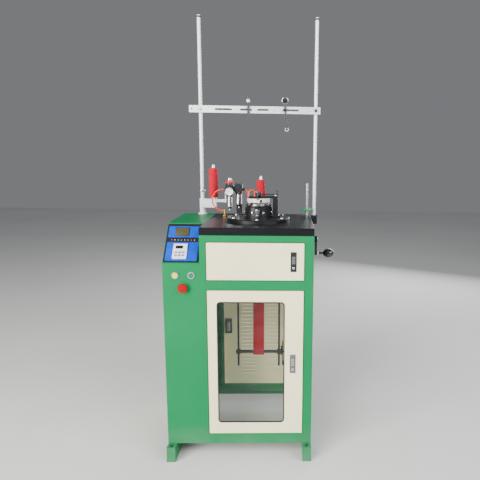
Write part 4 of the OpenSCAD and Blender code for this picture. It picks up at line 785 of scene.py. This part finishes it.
def fixed_latch(body, where):
    """What a latch without a joint of its own adds: housing, nut and cam behind the sheet, black plate."""
    bm = bmesh.new()
    bevelled_box(bm, (-15.3, 2.1, -36.3), (15.3, 12.3, 36.3), 1.0, where)
    for low in (-12, 4, 20):
        bevelled_box(bm, (-11, 11.8, low), (11, 13.2, low + 10), 0.6, where)
    latch_piece(body, "housing", bm, "latch_black", housing_grey)

    bm = bmesh.new()
    behind = where @ at(0, 11.5, NUT_Z) @ turn(-90, "X")
    revolve(bm, [(0, 0), (9.4, 0), (9.4, 4.9), (9, 5.4), (0, 5.4)], 32, behind)
    hex_nut(bm, behind @ at(0, 0, 5.2), 13.4, 3.4)
    bevelled_box(bm, (-6.4, 15.7, -24.4), (6.4, 18.3, 20.4), 0.6, where)
    latch_piece(body, "cam", bm, "satin_metal", chrome)

    # The plate's finger recess is a darker well
    bm = bmesh.new()
    slab(bm, rounded_outline(24.8, 82.8, 3, (-12.4, -41.4)), 0.2, 2.2, where @ FACE_FRONT,
         rounded_outline(16, 36.5, 3, (-8, -11.5)))
    latch_piece(body, "latch_plate", bm, "latch_black")


for body, door in LATCHES.items():
    side, left, bottom, width, height, latch_in = DOORS[door]
    where = SIDES[side] @ at(left + width - latch_in, 0, bottom + height / 2)
    bm = bmesh.new()
    lock = where @ at(0, -1, LOCK_Z) @ FACE_FRONT
    revolve(bm, [(0, 0), (5.4, 0), (5.4, 0.9), (5.0, 1.3), (3.9, 1.5), (3.7, 1.2), (0, 1.2)], 28, lock)
    bevelled_box(bm, (-0.5, -2.6, 1.1), (0.5, 2.6, 1.5), 0.15, lock)
    latch_piece(body, "lock", bm, "satin_metal", chrome)

    bm = bmesh.new()
    grip_deep = 0.8 if side == "front" else 0.2
    for low in (-9.5, 1.5, 13):
        bevelled_box(bm, (-GRIP_HALF_W, low, -grip_deep), (GRIP_HALF_W, low + GRIP_H, 0.6), 0.7,
                     where @ FACE_FRONT)
    latch_piece(body, "grips", bm, "latch_grey", finishes["zinc_plate"] if body == "lower_latch" else None)
    if side != "front":
        fixed_latch(body, where)


# Electrics behind the left doors, drawn from the plate's lower corner: x runs to the divider, y to the rear

PLATE = at(*PLATE_CORNER)
TERMINAL_COUNT, TERMINAL_Y, TERMINAL_STEP = 14, 24, 20
DUCT_ZS, DUCT_H = (26, 236, 584), 30
CONTACTOR_YS = (74, 126)


def plate_screw(x, y, z, r):
    """A screw on a face that looks at the left doors."""
    socket_screw(screws, PLATE @ at(x, y, z) @ FACE_LEFT, r, 1.2)


screws = bmesh.new()
bm = bmesh.new()
for k in range(TERMINAL_COUNT):
    y = TERMINAL_Y + TERMINAL_STEP * k
    bevelled_box(bm, (-46.3, y - 0.2, 83.8), (-8, y + 18.2, 131.2), 0.8, PLATE)
    bevelled_box(bm, (-48.2, y + 2, 100), (-45, y + 16, 115), 0.8, PLATE)
    for z in (92, 123):
        plate_screw(-46.2, y + 9, z, 3.4)
finish_mesh("terminal_blocks", bm, "zinc_plate", terminal_grey)

bm = bmesh.new()
bevelled_box(bm, (-66.3, 25.8, 289.2), (-7.8, 62.2, 369.8), 1.2, PLATE)
bevelled_box(bm, (-86.3, 185.8, 283.2), (-7.8, 240.2, 375.8), 1.0, PLATE)
for z in range(292, 347, 9):
    bevelled_box(bm, (-87.2, 192, z), (-86, 234, z + 4), 0.3, PLATE)
finish_mesh("supply_cases", bm, "zinc_plate", key_grey)

bm = bmesh.new()
bevelled_box(bm, (-74.3, 36.8, 317.2), (-66, 51.2, 341.8), 1.5, PLATE)
for y in CONTACTOR_YS:
    bevelled_box(bm, (-80.3, y - 0.2, 292.2), (-7.8, y + 45.2, 366.8), 1.2, PLATE)
    bevelled_box(bm, (-89.3, y + 7.8, 309.2), (-80, y + 37.2, 349.8), 1.0, PLATE)
    for z in (299, 360):
        for across in (8, 22.5, 37):
            plate_screw(-80.2, y + across, z, 3.6)
finish_mesh("contactors", bm, "drive_plastic")
finish_mesh("terminal_screws", screws, "zinc_plate", chrome)

bm = bmesh.new()
for z in DUCT_ZS:
    low, high = z - 0.3, z + DUCT_H + 0.3
    bevelled_box(bm, (-44, 11.7, low), (-42.1, 318.3, high), 0.5, PLATE)
    for y in (11.4, 318.1):
        bevelled_box(bm, (-44, y, low), (-0.3, y + 0.5, high), 0.1, PLATE)
finish_mesh("duct_covers", bm, "zinc_plate", duct_grey)

boxed("drive_display", (-88.6, 110, 504), (-87.4, 172, 546), 0.4, PLATE, "drive_plastic", dark_glass)

bm = bmesh.new()
for y in (118, 136, 154):
    for z in (448, 462):
        bevelled_box(bm, (-89.2, y, z), (-88, y + 12, z + 9), 0.4, PLATE)
finish_mesh("drive_keys", bm, "drive_plastic", key_grey)


# Windows

FRAME_LEFT, FRAME_RIGHT, FRAME_LOW, FRAME_HIGH = 40, 79, 53, 49


def gasket(name, body):
    """A rubber section round the window opening of a door, its lip proud of the sheet."""
    side, left, bottom, width, height, _ = DOORS[body]
    where = SIDES[side] @ at(left + FRAME_LEFT, 0, bottom + FRAME_LOW) @ FACE_FRONT
    w, h = width - FRAME_LEFT - FRAME_RIGHT, height - FRAME_LOW - FRAME_HIGH
    inner = rounded_outline(w - 4, h - 4, 11, (2, 2), 8)
    bm = bmesh.new()
    slab(bm, rounded_outline(w + 5, h + 5, 15.5, (-2.5, -2.5), 8), 0.0, 1.6, where, inner)
    slab(bm, rounded_outline(w - 0.4, h - 0.4, 12.8, (0.2, 0.2), 8), -2.0, 0.1, where, inner)
    finish_mesh(name, bm, "latch_black", rubber, body)


gasket("front_gasket", "lower_door")
gasket("side_gasket", "side_door")


# Knitting head

BASE_SCREW_R, EYELET_R = 120, 48.2
FOOT_SCREW_X, FOOT_SCREW_Y, ARM_SCREW_X = 91, 14.5, 75


def round_head(degrees, out, z):
    """A place on the head at that angle, distance from its axis and height; x points outwards."""
    return at_head(0, 0, z) @ turn(degrees, "Z") @ at(out, 0, 0)


bm = bmesh.new()
for k in range(6):
    a = math.radians(30 + 60 * k)
    socket_screw(bm, at_head(BASE_SCREW_R * math.cos(a), BASE_SCREW_R * math.sin(a), TABLE_Z + 10.2), 7.2, 9)
finish_mesh("base_screws", bm, "bearing_steel", chrome)

bm = bmesh.new()
for k in range(8):
    socket_screw(bm, round_head(22.5 + 45 * k, DRUM_R + 2.4, TABLE_Z + 39) @ FACE_RIGHT, 4.6, 4)
finish_mesh("drum_screws", bm, "bearing_steel", chrome)

# Adjusting plates of the stitch cams, with two screws each
bm = bmesh.new()
for k in range(3):
    where = round_head(-90 + 120 * k, DRUM_R, TABLE_Z + 20)
    bevelled_box(bm, (-1, -8, 0), (2.4, 8, 34), 0.8, where)
    for z in (6, 28):
        socket_screw(bm, where @ at(2.2, 0, z) @ FACE_RIGHT, 3.2, 2.6)
finish_mesh("cam_plates", bm, "bearing_steel")

# Ceramic eyelets in the feeder ring's side holes
bm = bmesh.new()
for k in range(6):
    revolve(bm, [(2.2, -1), (2.4, 0), (2.6, 1.2), (3.4, 1.7), (4.2, 1.3), (4.3, 0.5), (4.0, -1)], 24,
            round_head(60 * k, EYELET_R, FEEDER_Z + 8.5) @ FACE_RIGHT, tube=True)
finish_mesh("feeder_eyelets", bm, "ring_white", ceramic)

boxed("feeder_stop", (44.5, -5, 2), (50.6, 5, 14), 0.8, round_head(-74, 0, FEEDER_Z), "head_black")

bm = bmesh.new()
for y in (-FOOT_SCREW_Y, FOOT_SCREW_Y):
    socket_screw(bm, at_head(FOOT_SCREW_X, y, TABLE_Z + 22.8), 4, 4)
socket_screw(bm, at_head(ARM_SCREW_X, 0, TABLE_Z + 107.8), 5, 5)
finish_mesh("bracket_screws", bm, "bearing_steel", chrome)


# Crank

NUT_X, WASHER_X, GRIP_COLLAR_X, END_RING_X = 330.6, 331, 329.3, 404.7


def on_axis(x, z):
    """A place on the crank's or the grip's axis; the piece's z points outwards."""
    return at(x, CRANK_Y, z) @ FACE_RIGHT


bm = bmesh.new()
hex_nut(bm, on_axis(NUT_X, CRANK_Z), 17, 3.2, 4)
finish_mesh("crank_nut", bm, "bearing_steel", chrome, "crank")
turned("crank_washer", [(8.2, 0), (12.6, 0), (13, 0.5), (12.6, 1.5), (8.2, 1.7)], 48,
       on_axis(WASHER_X, CRANK_Z), "bearing_steel", chrome, "crank", tube=True)
turned("crank_end_ring", [(5.8, 0.3), (6.5, 0.3), (6.8, 1.1), (6.4, 1.8), (5.8, 1.9)], 32,
       on_axis(END_RING_X, GRIP_Z), "bearing_steel", chrome, "crank", tube=True)
turned("crank_collar", [(6.6, 0.2), (7.6, 0.2), (8.2, 1.4), (8.2, 5.4), (7.6, 6.8), (6.2, 7.4), (5.6, 7.4)],
       32, on_axis(GRIP_COLLAR_X, GRIP_Z), "satin_metal", chrome, "crank_grip", tube=True)


# Yarn stand

BALL_X, DISCS_X, PIGTAIL_X = 9, 180, 189
PIGTAIL_R, PIGTAIL_RISE, PIGTAIL_ANGLE, PIGTAIL_STEPS = 7.5, 2.2, 6.0, 28
SPARE_PEG = (288, 191)
POST_TOP_Z, COLLAR_Z = 1894.9, 1108

turned("guide_ball", [(0, 0), (5.4, 0.2), (7.6, 2.6), (8.4, 7), (7.6, 11.6), (5.2, 14.8), (0, 16)], 32,
       at(BALL_X, BAR_Y - 8, BAR_Z + 32), "ring_white", ceramic, "stand_bar")

# Two dished tension discs with their rims apart, as on any yarn tensioner
bm = bmesh.new()
for face in (1, -1):
    where = at(DISCS_X, BAR_Y - 14.4, BAR_Z + 42) @ FACE_FRONT @ Matrix.Scale(face, 4, (0, 0, 1))
    revolve(bm, [(0, 0.4), (9, 0.4), (12.5, 1.2), (14.3, 3.2), (14.6, 3.9), (13.6, 4.2), (12, 2.6),
                 (8.6, 1.7), (4, 1.7), (0, 1.7)], 40, where)
finish_mesh("tension_discs", bm, "guide_steel", chrome, "stand_bar")

bm = bmesh.new()
start = at(PIGTAIL_X, BAR_Y - 8, BAR_Z - 80.5) @ Vector()
loop = []
for k in range(PIGTAIL_STEPS + 1):
    a = k * PIGTAIL_ANGLE / PIGTAIL_STEPS
    loop.append(start + Vector((PIGTAIL_R * math.sin(a), PIGTAIL_RISE * a / PIGTAIL_ANGLE,
                                -PIGTAIL_R * (1 - math.cos(a)))) * MM)
sweep(bm, loop, 1.6)
finish_mesh("guide_pigtail", bm, "ring_white", ceramic, "stand_bar")

turned("spare_disc", [(0, 0), (28.4, 0), (29, 1.2), (29, 3.6), (28.2, 4.8), (9, 4.8), (7.5, 6), (0, 6)], 64,
       at(*SPARE_PEG, TABLE_Z + 27.6), "peg_steel", disc_green)

bm = bmesh.new()
for x in POST_XS:
    revolve(bm, [(0, 0), (8.3, 0), (8.5, 1), (8.5, 7), (7.6, 9), (4.6, 10.4), (0, 10.9)], 40,
            at(x, POST_Y, POST_TOP_Z))
finish_mesh("post_caps", bm, "latch_black")

turned("post_collar", [(8.1, 0), (13.8, 0), (14.4, 0.8), (14.4, 8.8), (13.6, 10), (9.4, 10.6), (8.1, 10.2)],
       40, at(POST_XS[0], POST_Y, COLLAR_Z), "post_chrome", chrome, tube=True)


# Air unit

TICKS, TICK_START, TICK_SWEEP, HAND_ANGLE = 20, 225, 270, 140

turned("regulator_cap", [(0, 8), (10.3, 8), (10.5, 9), (10.5, 23), (9.6, 24.4), (6.4, 25.2), (0, 25.4)], 32,
       at(AIR_X, AIR_Y, BLOCK_Z + 41), "satin_metal", chrome, "regulator")

gauge = at(AIR_X, AIR_Y - 18, BLOCK_Z + 6) @ FACE_FRONT
turned("gauge_card", [(0, 17.9), (16.9, 17.9), (16.9, 18.3), (0, 18.3)], 48, gauge, "gauge_white", dial_white)

bm = bmesh.new()
for k in range(TICKS + 1):
    tick = gauge @ turn(TICK_START - TICK_SWEEP * k / TICKS, "Z")
    bevelled_box(bm, (12.8 if k % 5 else 11.2, -0.35, 18.2), (14.8, 0.35, 18.5), 0, tick)
bevelled_box(bm, (-3.2, -0.5, 18.7), (11.8, 0.5, 19.0), 0, gauge @ turn(HAND_ANGLE, "Z"))
revolve(bm, [(0, 18.2), (1.9, 18.2), (1.9, 19.2), (0, 19.4)], 20, gauge)
finish_mesh("gauge_marks", bm, "gauge_white", ink_black)

turned("gauge_bezel", [(16.2, 18.4), (17.2, 18.4), (19.6, 19.2), (19.6, 20.6), (18.8, 21.3), (17.0, 21.0),
                       (16.2, 20.2)], 48, gauge, "gauge_white", chrome, tube=True)

bm = bmesh.new()
for x, y, r, top in ((AIR_X, AIR_Y, 11, BLOCK_Z - 12), (OILER_X, AIR_Y - 1, 13.5, BLOCK_Z)):
    revolve(bm, [(r - 2, -9), (r + 1.6, -9), (r + 2, -8), (r + 2, -1.5), (r + 1.4, -0.5), (r - 2, -0.5)], 48,
            at(x, y, top), tube=True)
finish_mesh("bowl_collars", bm, "air_black")


# Stage, lights and camera, in metres

FLOOR_HALF = 9
LIGHTS = (
    ("key_light", (-2.0, -3.0, 2.6), (0, 0, 0.9), (2.8, 2.6), 230, (1, 0.98, 0.95)),
    ("side_light", (-2.6, -2.8, 1.2), (0, 0, 0.7), (1.6, 1.8), 120, (1, 0.99, 0.97)),
    ("fill_light", (2.6, -2.3, 2.6), (0, 0, 0.8), (3.0, 2.4), 150, (0.97, 0.985, 1)),
    ("back_light", (1.6, 3.0, 1.5), (0, 0, 0.8), (2.2, 1.8), 60, (1, 1, 1)),
    ("top_light", (0, 0, 4.2), (0, 0, 0), (3.4, 3.4), 6, (1, 1, 1)),
)
SKY, SKY_STRENGTH = (0.86, 0.89, 0.93, 1), 0.22
CAMERA_PLACE, LENS, SHIFT = (0.2021, -2.1926, 1.2991), 37.2, -0.137
CAMERA_YAW, CAMERA_PITCH, CAMERA_ROLL = math.radians(2), math.radians(10), 0.0146


def stage_floor():
    n = Nodes("studio_floor")
    material = n.surface(n.ramp(n.noise(0.8, 3), (0.3, (0.70, 0.70, 0.69, 1)), (0.7, (0.76, 0.76, 0.75, 1))),
                         0.75)
    bm = bmesh.new()
    bmesh.ops.create_grid(bm, x_segments=1, y_segments=1, size=FLOOR_HALF)
    mesh = bpy.data.meshes.new("studio_floor")
    bm.to_mesh(mesh)
    bm.free()
    floor = new_object("studio_floor", mesh, material)


def area_light(name, place, target, size, power, colour):
    data = bpy.data.lights.new(name, "AREA")
    data.shape, data.size, data.size_y = "RECTANGLE", *size
    data.energy, data.color = power, colour
    light = bpy.data.objects.new(name, data)
    light.location = place
    light.rotation_euler = (Vector(target) - Vector(place)).to_track_quat("-Z", "Y").to_euler()
    bpy.context.scene.collection.objects.link(light)


def photo_camera():
    """The photo's own view: place, direction, lens and the shift of its crop."""
    data = bpy.data.cameras.new("camera")
    data.sensor_width = 36
    data.lens = LENS
    data.shift_x = SHIFT
    camera = bpy.data.objects.new("camera", data)
    camera.location = CAMERA_PLACE
    level = math.cos(CAMERA_PITCH)
    aim = Vector((math.sin(CAMERA_YAW) * level, math.cos(CAMERA_YAW) * level, -math.sin(CAMERA_PITCH)))
    camera.rotation_mode = "QUATERNION"
    camera.rotation_quaternion = (aim.to_track_quat("-Z", "Y")
                                  @ Matrix.Rotation(CAMERA_ROLL, 4, "Z").to_quaternion())
    bpy.context.scene.collection.objects.link(camera)
    bpy.context.scene.camera = camera


stage_floor()
for light in LIGHTS:
    area_light(*light)

world = bpy.data.worlds.new("studio")
world.use_nodes = True
background = world.node_tree.nodes["Background"]
background.inputs["Color"].default_value = SKY
background.inputs["Strength"].default_value = SKY_STRENGTH
bpy.context.scene.world = world

photo_camera()
